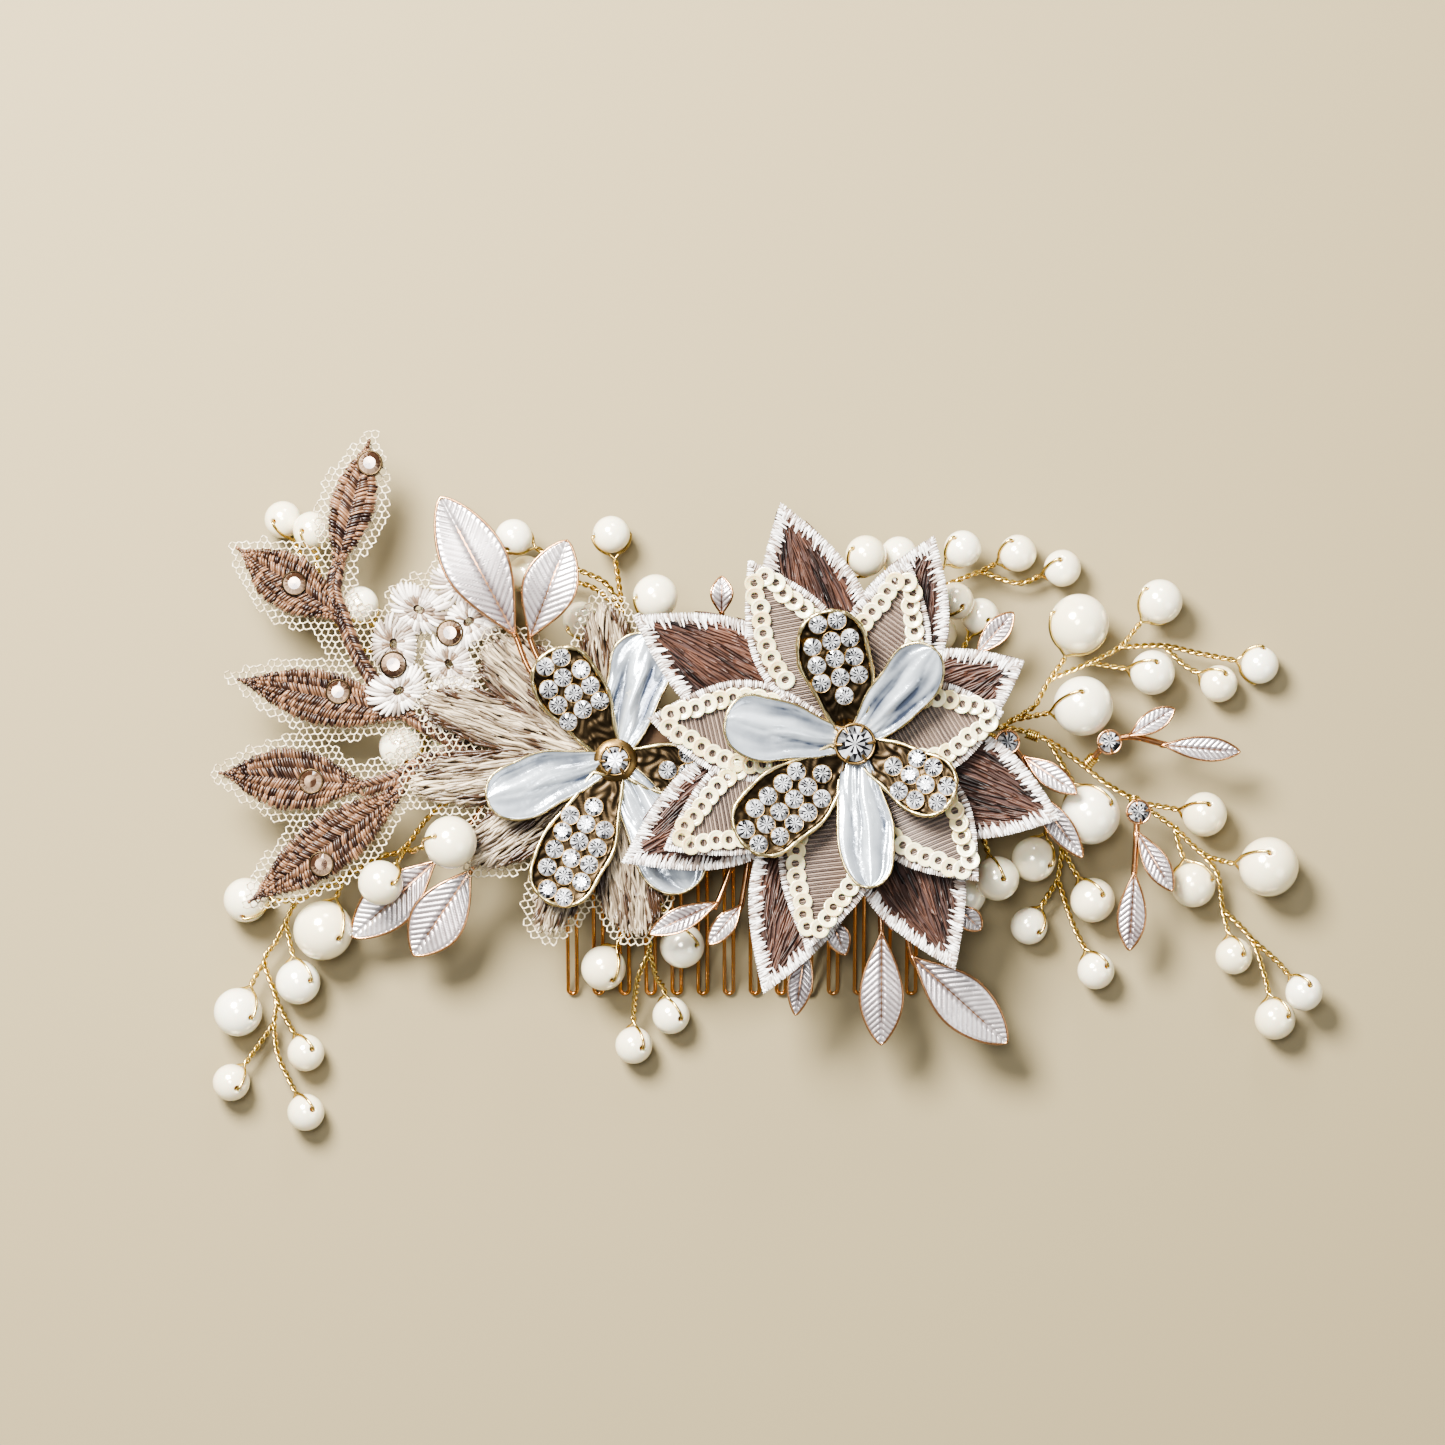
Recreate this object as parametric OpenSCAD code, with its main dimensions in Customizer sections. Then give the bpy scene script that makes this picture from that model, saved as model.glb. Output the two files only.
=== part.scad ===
// Decorative hair comb: a wound wire comb that carries two jewelled metal flowers, embroidered
// and net flowers, enamelled leaves and sprays of pearls on twisted wire.
// Origin: middle of the comb's rail. +X runs along the rail, -Y down the teeth, +Z to the front.

/* [Comb] */
// Number of hairpin teeth
tooth_count = 14; // [8:1:16]
// Distance from one tooth to the next
tooth_pitch = 3.5; // [3.2:0.1:3.8]
// Distance between the two wires of one tooth
tooth_gap = 1.2; // [1:0.1:1.4]
// Diameter of the tooth wire
tooth_wire = 0.5; // [0.4:0.05:0.6]
// How far the teeth reach from the rail
tooth_reach = 33.6; // [30:0.2:36]
// How far the tooth tips curve back from the rail
tooth_drop = 7; // [6:0.5:7]
// Diameter of the two rail wires
rail_wire = 1; // [0.8:0.1:1.1]

/* [Wire and pearls] */
// Diameter of a twisted stem of two strands
stem_wire = 0.8; // [0.7:0.05:0.9]
// Diameter of the strand that passes through a pearl
pearl_wire = 0.5; // [0.4:0.02:0.54]
// Diameter of the hole drilled through a pearl
pearl_bore = 0.65; // [0.6:0.01:0.7]
// Room between a pearl and the wire loop round it
loop_room = 0.2; // [0.15:0.05:0.3]
// Diameter of the thin binding wire
binding_wire = 0.3; // [0.2:0.05:0.35]

/* [Fabric] */
// Thickness of the embroidered petals
embroidery_t = 0.8; // [0.6:0.1:0.9]
// Thickness of the net
net_t = 0.3; // [0.2:0.1:0.3]
// Thickness of the organza petals
organza_t = 0.4; // [0.3:0.05:0.45]
// Diameter of a sequin
sequin_d = 2.7; // [2.2:0.1:2.8]
// Distance between the sequins of a loop
sequin_pitch = 3; // [2.9:0.1:3.4]

/* [Metal] */
// Thickness of a leaf's metal back
leaf_t = 0.5; // [0.4:0.05:0.6]
// Thickness of the enamel on leaves and petals
enamel_t = 0.35; // [0.3:0.05:0.4]
// Width of the bare metal rim round the enamel
rim_w = 0.35; // [0.3:0.05:0.5]
// Thickness of a metal flower's petals
cup_t = 0.9; // [0.7:0.1:1]
// Diameter of a small clear stone
pave_d = 2.2; // [1.8:0.1:2.3]
// Distance between small clear stones
pave_pitch = 2.5; // [2.45:0.05:2.7]
// Diameter of the left flower's centre stone
left_stone_d = 3.6; // [3:0.1:3.8]
// Diameter of the right flower's centre stone
right_stone_d = 4.8; // [4.2:0.1:5]

/* [Hidden] */
$fn = 48;
tooth_angle = 2 * atan(tooth_drop / tooth_reach);
tooth_radius = tooth_reach / sin(tooth_angle);
rail_len = (tooth_count - 1) * tooth_pitch + tooth_gap + 3;
rail_z = tooth_wire / 2 + rail_wire / 2;
binding_r = tooth_wire / 2 + rail_wire + binding_wire / 2 + 0.03;

// Centres of the two metal flowers, on the lowest face of each.
left_hub = [-16.8, -2.7, 5];
right_hub = [14.8, -0.5, 9.2];
brown_hub = [14.8, -0.5, 5.4];
organza_hub = [14.8, -0.5, 6.9];
net_z = 1.4;
beige_z = 3.4;
brown_tilt = 4;
organza_tilt = 6;

// Metal petals: direction, length, width, tilt.
left_pave = [[122, 17, 8, 7], [246, 20.8, 9, 6], [350, 16, 8, -1]];
left_enamel = [[75, 17.3, 8.5, 1], [197, 17.9, 7.5, 8], [300, 19.7, 8.5, -1]];
right_pave = [[103, 18.2, 8.7, 10], [222, 20, 9.5, 9], [330, 15, 8, 11]];
right_enamel = [[50, 16.7, 7.5, 12], [170, 17.8, 8, 11], [276, 19.3, 7, 10]];

// Fabric petals round the right flower: direction, length, width.
brown_petals = [[107, 33.2, 14], [150, 33.7, 14], [207, 34.4, 15], [250, 35, 14],
                [294, 32.5, 14], [340, 28.9, 14], [26, 24.9, 13], [69, 29.3, 13]];
organza_petals = [[120, 27.9, 12], [173, 27.4, 13], [209, 28.8, 13], [257, 27.8, 13],
                  [312, 24.3, 13], [12, 20, 12], [73, 24.9, 12]];

// Sprig: tip, base, width and place of the stone on each lobe.
sprig_lobes = [[[-49.5, 40], [-53.9, 23.1], 5.8, [-49.5, 36.8]],
               [[-67.1, 25.5], [-53.3, 16.4], 7.3, [-59.5, 20.8]],
               [[-67.2, 8.1], [-44.7, 3.2], 7, [-53.7, 6.4]],
               [[-69.5, -4.4], [-50.3, -6], 8, [-57.3, -5.5]],
               [[-65.6, -21.6], [-45.1, -6.7], 7.3, [-55.9, -16.5]]];
sprig_stem = [[-53.9, 23.1], [-54.3, 19.7], [-52.9, 15.7], [-51.5, 12], [-49.6, 8.7],
              [-47.7, 6.3], [-44.7, 3.5], [-41.6, 1.6], [-38.5, -0.1], [-35.6, -1.5]];
sprig_root = [[-34.5, -2], [-41.6, -2.7], [-45.3, -4.8], [-50.3, -6.5]];
// Where each lobe joins the sprig's stems.
sprig_forks = [sprig_stem[1], sprig_stem[2], sprig_stem[6], sprig_root[3], sprig_root[2]];
net_edge = [[-50.5, 42.5], [-46.5, 41], [-48.5, 30], [-50.5, 24.5], [-46, 25.5], [-37, 25],
            [-31.5, 18], [-31.5, -8], [-44, -12.5], [-56, -20.5], [-66.5, -25.2], [-69, -22],
            [-64, -14.5], [-60, -10], [-71.5, -7], [-72, -2], [-64, 3], [-70.5, 8.5],
            [-69.5, 12], [-60, 12], [-58.5, 16], [-70, 25], [-68, 29.5], [-57, 23.5],
            [-55, 33], [-52.5, 41]];
lace_lobes = [[-42.9, 17.3], [-36.3, 15.7], [-46.3, 12.7], [-38.9, 10], [-37.1, 21.2],
              [-39.2, 5.5], [-45.6, 6.5]];
lace_stones = [[-38.8, 14.2], [-46.3, 10]];

// Lobes of the beige silk flower: tip and width.
beige_lobes = [[[-34, 12.7], 9], [[-42.3, 5.3], 7], [[-44, -6], 7], [[-36, -16], 8],
               [[-26.3, -25.3], 7], [[-14, -25.7], 9], [[-18.2, 18], 6.8]];

// Enamelled leaves: base, tip, width.
upper_left_leaves = [[[-30, 13.7, 5.1], [-39.9, 32.1, 5.8], 7.7],
                     [[-28.1, 13.5, 5.1], [-23.1, 26.4, 6.6], 6.4]];
lower_left_leaves = [[[-36.1, -17.3, 0.6], [-43.7, -28.7, -0.6], 6.5],
                     [[-40.8, -16.1, -0.7], [-52, -26.3, -2.4], 6]];
lower_right_leaves = [[[18.5, -25.3, 3.2], [18.5, -40.5, 1], 5.2],
                      [[22.5, -28.7, 2.6], [35.2, -40.3, 0], 6.4]];
lower_small_leaves = [[[8.5, -26.7, 3], [7.1, -36.5, 2.6], 2.9],
                      [[-0.1, -21.9, 2.8], [-4.4, -27.1, 2.6], 2.5],
                      [[-3.2, -21.5, 4], [-12.3, -25.7, 4.7], 2.8],
                      [[11.6, -23.3, 2.8], [13.7, -28.5, 2.6], 2.7],
                      [[28.4, -22, 1.6], [31.7, -25.2, 1], 2.6]];
upper_small_leaves = [[[-2.7, 16.7, 2.6], [-2.7, 21.7, 3], 2.6],
                      [[31.1, 11.3, 0], [36.1, 16.9, -0.4], 2.8]];
// Wire from each leaf's base back to the comb, in the order of the leaves above.
upper_left_leaf_stems = [[[-28, 9, 5], [-23.5, 4.2, 4.95], [-20.5, 1.2, 4.95]],
                         [[-26, 9, 5], [-22, 4.6, 4.95], [-19.4, 1.4, 4.95]]];
lower_left_leaf_stems = [[[-32, -10, 0.8], [-28, -5, 1], [-25, -2.4, 1]],
                         [[-36, -11, -0.9], [-32, -5, -1], [-26, -2.4, -0.8]]];
lower_right_leaf_stems = [[[18, -16, 3], [17, -6, 2.2], [16, -2.4, 1.2]],
                          [[21, -18, 2.8], [20, -6, 2.2], [19, -2.4, 1.2]]];
lower_small_leaf_stems = [[[8, -16, 3], [6, -6, 2.2], [5, -2.4, 1.2]],
                          [[1, -14, 3], [1, -6, 2.2], [1, -2.4, 1.2]],
                          [[-1, -14, 3], [-2, -6, 2.2], [-2, -2.4, 1.2]],
                          [[10.5, -14, 3], [9, -6, 2.2], [8, -2.4, 1.2]],
                          [[26, -16, 1.8], [24, -6, 1.8], [22, -2.4, 1.2]]];
upper_small_leaf_stems = [[[-2.5, 11, 2.4], [-4, 6, 1], [-6, 2.4, 0.2]],
                          [[28, 7, 0.4], [25, 4.4, 1], [22, 3.6, 1]]];

// Twigs: stone's place, two leaves as above, then the twig's own stem.
twigs = [
    [[48.9, -0.3, 0.6],
     [[[51.5, 0.5, 0.6], [57.5, 4.1, 0.2], 2.6], [[55.9, -0.7, 0.3], [66.3, -1.6, -0.6], 2.9]],
     [[46, -3.4, -1.2], [47.4, -1.8, -0.4], [48.9, -0.3, 0.4], [51.9, 0.4, 0.6], [56.6, -0.7, 0.4]]],
    [[35.2, -0.3, 3],
     [[[37.5, -2.3, 2.4], [44.4, -7.1, 3.4], 2.8], [[38.4, -6.5, 2], [45.2, -15.6, 2.4], 3]],
     [[32, 0.4, 1.6], [33.6, 0, 2.2], [35.2, -0.3, 2.7], [37.2, -2.6, 2.5], [38.6, -6.8, 2.1]]],
    [[52.8, -9.6, 0],
     [[[52.6, -12.2, 0], [57.3, -20.1, 0], 2.9], [[52.3, -17.6, -0.4], [51.7, -28, -1.6], 3.4]],
     [[52.4, -7.6, -1.8], [52.6, -9.6, -0.4], [52.6, -13, -0.1], [52.3, -17.9, -0.3]]]];
twig_cup_d = 3.4;
twig_stone_d = 2.7;

// Trunks of twisted wire, from the rail outwards.
right_trunks = [
    [[20, 2.4, 0], [27, 2.4, 0.2], [33.7, 1.6, 0.4], [36, 2.6, 0.1], [39.1, 4.5, 0]],
    [[33.7, 1.6, 0.4], [36.5, 1.4, 0], [40.9, -0.1, -0.9], [45.2, -3.1, -2.2], [48.8, -5.9, -2.6],
     [53.1, -8.4, -3], [58, -11.8, -3.6]],
    [[24.5, 2.6, -1], [31, 0.8, -1.4], [35, -4, -2], [39, -8, -2.6], [41.4, -11, -3],
     [42.8, -14.1, -3.7], [42.4, -18.8, -5]],
    [[27, 2.4, 0.2], [30, -4, 0.2], [31.6, -11, 0.4]],
    [[24.5, 2.6, -1], [26.8, -5, -1.4], [28.5, -11, -2]]];
left_trunks = [
    [[-24, 2.4, -1], [-27.5, 1, -1.6], [-33, -4, -2.2], [-41.1, -9.6, -2.4], [-45.3, -14.6, -2.6],
     [-48.4, -15.7, -2.6], [-53.2, -18.4, -2.2], [-59.3, -21.6, -3], [-61.1, -24.5, -3.6],
     [-62.5, -27.2, -4.2], [-64, -29.7, -4.6], [-62.5, -34.7, -5], [-62.8, -38.1, -5]],
    [[-24, 2.4, -1], [-31, 2.6, -1.3], [-37.5, 2.2, -1.4], [-42, 7, -1.2], [-46, 11, -1.2],
     [-51.5, 12.5, -2.6], [-55, 17, -2.8], [-56.2, 21, -2]]];
top_trunks = [
    [[-14, 2.4, 0], [-15, 9, -1], [-16, 17, -2.4]],
    [[-14, 2.4, 0], [-12, 4, 0.2], [-12, 10, 0.4]],
    [[12, 2.4, 0], [11, 9, 0.5], [12.5, 16, 0.6]],
    [[12, 2.4, 0], [18, 4, 0], [22, 12, 0], [22, 19, -0.6]],
    [[12, 2.4, 0], [17, 3, -1.2], [22, 8, -2.8]],
    [[22, 8, -2.8], [22.5, 14, -4.4], [25, 19.6, -4.6], [28, 21, -4.6], [32, 22.6, -4.6]]];
bottom_trunks = [
    [[-12, -2.6, 0.9], [-12, -12, 1.4], [-12.3, -20, 1.6], [-12.3, -26.3, 1.4], [-12.3, -28.1, 1]]];

// Pearls: centre, diameter, tilt of the drilled hole, wire route from where it leaves the trunk.
right_pearls = [
    [[55, 9, -3.5], 6, 60, [[46.5, 10.3, -2], [49.5, 9.8, -3]]],
    [[64, 7.5, -5], 5, 50, [[56.5, 12.6, -4.3], [59.5, 9.9, -4.8]]],
    [[69.5, 10, -5], 5, 20, [[50.5, 12.4, -3], [56.5, 12.6, -4.3], [61.2, 11.6, -5]]],
    [[62, -10, -4], 6, 60, [[53.1, -8.4, -3], [56.5, -9, -3.6]]],
    [[60.5, -19.5, -4.4], 6, 30, [[58, -11.8, -3.6], [58.6, -14.2, -4]]],
    [[47, -21.5, -4], 6, 60, [[42.8, -14.1, -3.7], [44.2, -17, -4]]],
    [[39, -16, -2.5], 6, 40, [[41.4, -11, -3], [40.8, -12, -2.8]]],
    [[34, -18.5, -0.2], 6, 75, [[31.6, -11, 0.4], [32.4, -13.8, 0.2]]],
    [[29.5, -20.5, -4.1], 6.5, -40, [[28.5, -11, -2], [28.6, -15, -3.6]]],
    [[38.5, -25, -5], 5, 50, [[42.4, -18.8, -5], [41, -21, -5]]],
    [[47.5, -31, -5], 5, 50, [[42.4, -18.8, -5], [44.4, -24.7, -5]]],
    [[66, -29, -5], 5, 60, [[61.7, -15.2, -4.3], [63.8, -18.1, -4.6], [64.5, -22.7, -5]]],
    [[71.5, -37.5, -4.7], 5.5, 50, [[64.5, -22.7, -5], [68.3, -26.7, -5], [70, -31.2, -5]]],
    [[75.2, -33.8, -2.9], 5, 60, [[68.3, -26.7, -5], [71.6, -29.6, -4]]]];
left_pearls = [
    [[-61.5, 29.5, -4.4], 5, 60, [[-56.2, 21, -2], [-57.9, 22.8, -3], [-59.6, 25.6, -4]]],
    [[-57.5, 28, -1.6], 5, 60, [[-56.2, 21, -2], [-56.8, 23.7, -1.7]]],
    [[-51, 18, -1.3], 5, 40, [[-46, 11, -1.2], [-48, 13.5, -1.2]]],
    [[-45.5, -1, -1.7], 6, 40, [[-37.5, 2.2, -1.4], [-40.5, 1.4, -1.4]]],
    [[-39.5, -1.5, -4.9], 5, 40, [[-31, 2.6, -1.3], [-34, 1.4, -3.6]]],
    [[-66.5, -21.5, -4.4], 6, 40, [[-59.3, -21.6, -3], [-61, -21.6, -3.8]]],
    [[-48, -19, 3.2], 6, 60, [[-45.3, -14.6, -2.6], [-45.4, -15.4, 0], [-45.9, -16.2, 1.6]]],
    [[-59.5, -32.5, -4.4], 6, 50, [[-61.1, -24.5, -3.6], [-60.6, -27, -4.2]]],
    [[-58.5, -42, -5], 5, 60, [[-62.5, -34.7, -5], [-61.4, -37, -5]]],
    [[-68.5, -46, -5], 5, 60, [[-62.8, -38.1, -5], [-65, -41.2, -5]]],
    [[-58.5, -50, -5], 5, 60, [[-62.8, -38.1, -5], [-62.3, -42.1, -5], [-60.8, -45.5, -5]]]];
top_pearls = [
    [[-30.5, 27, -1.6], 5, 40, [[-16, 17, -2.4], [-18.1, 20.8, -1.8], [-22, 22.8, -1.6], [-26.3, 25, -1.6]]],
    [[-29, 22.2, -4.8], 5, 30, [[-16, 17, -2.4], [-20, 20.4, -4.2], [-24.4, 21.4, -4.8]]],
    [[-21.5, 16, -3], 5, 30, [[-15, 9, -1], [-18.5, 12, -2.4]]],
    [[-11.5, 19, 3.2], 6, 30, [[-12, 10, 0.4], [-11.8, 13, 2.2]]],
    [[16.5, 24.5, 1], 5.5, 40, [[12.5, 16, 0.6], [14, 20, 0.8]]],
    [[21, 24.7, -2.4], 5, -60, [[12.5, 16, 0.6], [16.5, 18.5, -0.8], [19, 21.2, -2]]],
    [[29.5, 25.5, -2], 5, 40, [[22, 19, -0.6], [25.5, 22, -1.6]]],
    [[37, 25, -4.4], 5, 40, [[32, 22.6, -4.6], [33.2, 23.2, -4.6]]],
    [[43, 23, -4.9], 5, 60, [[32, 22.6, -4.6], [37, 21, -4.9]]],
    [[28.5, 18.5, -1], 5, -60, [[22, 12, 0], [24.5, 15, -0.6]]],
    [[32, 16.5, -4.4], 5, -60, [[22, 8, -2.8], [26.4, 9, -4], [29.4, 12, -4.4]]],
    [[26.3, 14.2, -4.1], 5, 30, [[22, 8, -2.8], [23.6, 10.6, -3.8]]]];
bottom_pearls = [
    [[-8, -27.5, -1.1], 6, 50, [[-12.3, -20, 1.6], [-10.4, -22.6, 0.8]]],
    [[-9.5, -37, -4.9], 5, 60, [[-12.3, -28.1, 1], [-11.5, -31.5, -1], [-10.6, -33, -3.4]]],
    [[-14.5, -41, -5], 5, 60, [[-12.3, -28.1, 1], [-13.9, -32, -1], [-14.5, -36.6, -4.4]]]];
// Pearls that turn on their wires, in the same form.
right_turning = [
    [[45, 15.5, -1], 8, 20, [[39.1, 4.5, 0], [41, 8, -0.4], [42.8, 10.4, -0.8]]],
    [[45.5, 4.5, -0.4], 8, 60, [[36, 2.6, 0.1], [39.4, 3.3, -0.2]]],
    [[46.5, -10, -1], 8, 40, [[40.9, -0.1, -0.9], [43.2, -4, -1]]],
    [[70.5, -17, -3], 8, 60, [[58, -11.8, -3.6], [61.7, -15.2, -4.3], [65, -16.4, -3.6]]],
    [[56, 18.5, -3.5], 6, 30, [[41, 8, -0.4], [46.5, 10.3, -2], [50.5, 12.4, -3], [53, 15.2, -3.5]]]];
left_turning = [
    [[-38.5, -13.5, 8.1], 7, 70, [[-45.3, -14.6, -2.6], [-43.8, -14.8, 1], [-43, -14.4, 5]]],
    [[-56, -25.5, -2.4], 8, 50, [[-53.2, -18.4, -2.2], [-53.8, -20, -2.2]]],
    [[-67.5, -36.5, -3.8], 6.5, 50, [[-64, -29.7, -4.6], [-65.1, -31.5, -4.4]]]];
top_turning = [[[-17.5, 27.5, -4], 5, 20, [[-16, 17, -2.4], [-16.5, 21, -3.4]]]];
bottom_turning = [
    [[-18.5, -30.5, -1.7], 6, 50, [[-12.3, -20, 1.6], [-14.6, -23.6, 1], [-15.8, -26, 0.1]]]];
turning_pearls = concat(right_turning, left_turning, top_turning, bottom_turning);
turning_names = ["right_pearl_upper", "right_pearl_near", "right_pearl_middle", "right_pearl_far",
                 "right_pearl_outer", "left_pearl_front", "left_pearl_large", "left_pearl_outer",
                 "top_pearl", "bottom_pearl"];

// Directions in the plan and above it.
function flat(v) = norm([v.x, v.y]);
function yaw(v) = atan2(v.y, v.x);
function pitch(v) = atan2(v.z, flat(v));
function unit(v) = v / norm(v);

// Half width along a petal with a round end, at t from 0 to 1.
function round_half(t, w, root, peak) =
    t < peak ? root / 2 + (w - root) / 2 * sin(90 * t / peak)
             : w / 2 * sqrt(max(0, 1 - pow((t - peak) / (1 - peak), 2)));
// Half width along a pointed petal or leaf.
function leaf_half(t, w, peak) =
    w / 2 * (t < peak ? sin(90 * t / peak) : cos(90 * (t - peak) / (1 - peak)));
function both_sides(upper) =
    concat(upper, [for (i = [len(upper) - 1:-1:0]) if (upper[i].y > 0.01) [upper[i].x, -upper[i].y]]);
function round_outline(length, w, root, peak = 0.66) =
    both_sides([for (i = [0:10]) let (t = sin(9 * i)) [t * length, round_half(t, w, root, peak)]]);
function leaf_outline(length, w, peak = 0.45) =
    both_sides([for (i = [0:12]) [i / 12 * length, leaf_half(i / 12, w, peak)]]);

// A flat strip of the given width along points in the plan.
function along(p, i) = unit(p[min(i + 1, len(p) - 1)] - p[max(i - 1, 0)]);
function strip(p, w) = concat(
    [for (i = [0:len(p) - 1]) p[i] + w / 2 * [-along(p, i).y, along(p, i).x]],
    [for (i = [len(p) - 1:-1:0]) p[i] - w / 2 * [-along(p, i).y, along(p, i).x]]);

// A tube swept along points in space.
tube_sides = 6;
function tube_ring(c, t, r) =
    let (s = unit(cross(t, [0, 0, 1])), u = cross(s, t))
    [for (k = [0:tube_sides - 1]) c + r * (cos(k * 360 / tube_sides) * s + sin(k * 360 / tube_sides) * u)];
module tube(p, d) {
    n = tube_sides;
    rings = len(p);
    skin = [for (i = [0:rings - 2], k = [0:n - 1])
            let (a = i * n + k, b = i * n + (k + 1) % n)
            each [[a, b, b + n], [a, b + n, a + n]]];
    ends = [[for (k = [n - 1:-1:0]) k], [for (k = [0:n - 1]) (rings - 1) * n + k]];
    polyhedron([for (i = [0:rings - 1]) each tube_ring(p[i], along(p, i), d / 2)], concat(skin, ends));
}

// Lays children, drawn along +X in the plan, from one point in space towards another.
module lay(from, to) {
    translate(from) rotate([0, -pitch(to - from), yaw(to - from)]) children();
}

// Pearls and their wire loops.
function loop_r(p) = p[1] / 2 + loop_room + pearl_wire / 2;
function last_leg(p) = unit(p[0] - p[3][len(p[3]) - 1]);
module on_wire(p) {
    v = last_leg(p);
    translate(p[0]) rotate([0, 0, yaw(v) - 90]) rotate([pitch(v), 0, 0]) rotate([0, p[2], 0]) children();
}
module pearl(p) {
    on_wire(p) rotate([0, 90, 0]) rotate_extrude() difference() {
        circle(d = p[1]);
        translate([-p[1], -p[1]]) square([p[1] + pearl_bore / 2, 2 * p[1]]);
    }
}
module pearl_loop(p) {
    on_wire(p) {
        rotate([0, 90, 0]) cylinder(h = 2 * loop_r(p), d = pearl_wire, center = true);
        rotate([0, 0, 180]) rotate_extrude(angle = 180) translate([loop_r(p), 0]) circle(d = pearl_wire);
    }
    tube(concat(p[3], [p[0] - loop_r(p) * last_leg(p)]), stem_wire);
}
module stems(trunks, pearls) {
    color("goldenrod") {
        for (t = trunks) tube(t, stem_wire);
        for (p = pearls) pearl_loop(p);
    }
}
module pearls(list) {
    color("ivory") for (p = list) pearl(p);
}

// Comb.
module tooth() {
    tip = [0, -tooth_radius * sin(tooth_angle), tooth_radius * (cos(tooth_angle) - 1)];
    for (side = [-1, 1]) translate([side * tooth_gap / 2, 0, 0]) {
        translate([0, 0, -tooth_radius]) rotate([0, -90, 180])
            rotate_extrude(angle = tooth_angle) translate([tooth_radius, 0]) circle(d = tooth_wire);
        rotate([-90, 0, 0]) cylinder(h = 1, d = tooth_wire);
    }
    translate(tip) rotate([180 + tooth_angle, 0, 0])
        rotate_extrude(angle = 180) translate([tooth_gap / 2, 0]) circle(d = tooth_wire);
}
function tooth_x(i) = (i - (tooth_count - 1) / 2) * tooth_pitch;
module comb_teeth() {
    color("peru") for (i = [0:tooth_count - 1]) translate([tooth_x(i), 0, 0]) tooth();
}
module comb_rails() {
    color("peru") for (side = [-1, 1])
        translate([0, 0, side * rail_z]) rotate([0, 90, 0]) cylinder(h = rail_len, d = rail_wire, center = true);
}
module turn_of_wire(r, d) {
    rotate([0, 90, 0]) rotate_extrude() translate([r, 0]) circle(d = d);
}
module comb_binding() {
    color("peru") for (i = [0:tooth_count - 2], k = [-1:1])
        translate([tooth_x(i) + tooth_pitch / 2 + k * (binding_wire + 0.05), 0, 0])
            turn_of_wire(binding_r, binding_wire);
}
// A wire post under a metal flower, with a foot that lies along the rail.
module flower_post(hub, foot_z, foot_dir) {
    color("goldenrod") {
        translate([hub.x, hub.y, foot_z]) cylinder(h = hub.z - foot_z, d = 1);
        translate([hub.x, hub.y, foot_z]) rotate([0, 90 * foot_dir, 0]) cylinder(h = 6, d = 1);
        translate([hub.x, hub.y, foot_z]) sphere(d = 1);
    }
}

// Net, sprig and lace flower.
module tulle_panel() {
    color("bisque", 0.6) translate([0, 0, net_z]) linear_extrude(net_t) polygon(net_edge);
}
sprig_z = net_z + net_t;
lace_z = sprig_z + embroidery_t;
module sprig_embroidery() {
    color("rosybrown") translate([0, 0, sprig_z]) {
        for (s = sprig_lobes) translate(s[1]) rotate(yaw(s[0] - s[1]))
            linear_extrude(embroidery_t) polygon(leaf_outline(norm(s[0] - s[1]), s[2]));
        linear_extrude(embroidery_t) polygon(strip(sprig_stem, 1.7));
        linear_extrude(embroidery_t) polygon(strip(sprig_root, 2));
        for (i = [0:4]) let (s = sprig_lobes[i])
            linear_extrude(embroidery_t) polygon(strip([s[1] + 0.2 * (s[0] - s[1]), sprig_forks[i]], 1.8));
    }
}
module flat_stone(d) {
    rotate_extrude() polygon([[0, 0], [d / 2, 0], [d / 2, 0.12 * d], [0.3 * d, 0.3 * d], [0, 0.3 * d]]);
}
module sprig_stones() {
    color("tan") for (s = sprig_lobes)
        translate([s[3].x, s[3].y, sprig_z + embroidery_t]) flat_stone(3);
}
module lace_flower() {
    color("linen") translate([0, 0, lace_z]) for (c = lace_lobes) translate(c) difference() {
        cylinder(h = embroidery_t, d = 6.6);
        translate([0, 0, -1]) cylinder(h = embroidery_t + 2, d = 1);
    }
}
module lace_stones() {
    color("tan") for (c = lace_stones)
        translate([c.x, c.y, lace_z + embroidery_t]) flat_stone(3.2);
}

// Beige silk flower under the left metal flower.
module beige_shape(grow, t) {
    linear_extrude(t) circle(r = 8);
    for (b = beige_lobes) rotate(yaw(b[0] - [left_hub.x, left_hub.y]))
        linear_extrude(t) polygon(round_outline(norm(b[0] - [left_hub.x, left_hub.y]) + grow, b[1] + grow, 5));
}
module beige_net() {
    color("bisque", 0.6) translate([left_hub.x, left_hub.y, beige_z]) difference() {
        beige_shape(1.6, net_t - 0.1);
        translate([0, 0, -1]) cylinder(h = 3, d = 1.4);
    }
}
module beige_embroidery() {
    color("antiquewhite") translate([left_hub.x, left_hub.y, beige_z + net_t - 0.1]) difference() {
        beige_shape(0, embroidery_t);
        translate([0, 0, -1]) cylinder(h = 3, d = 1.4);
    }
}

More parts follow.
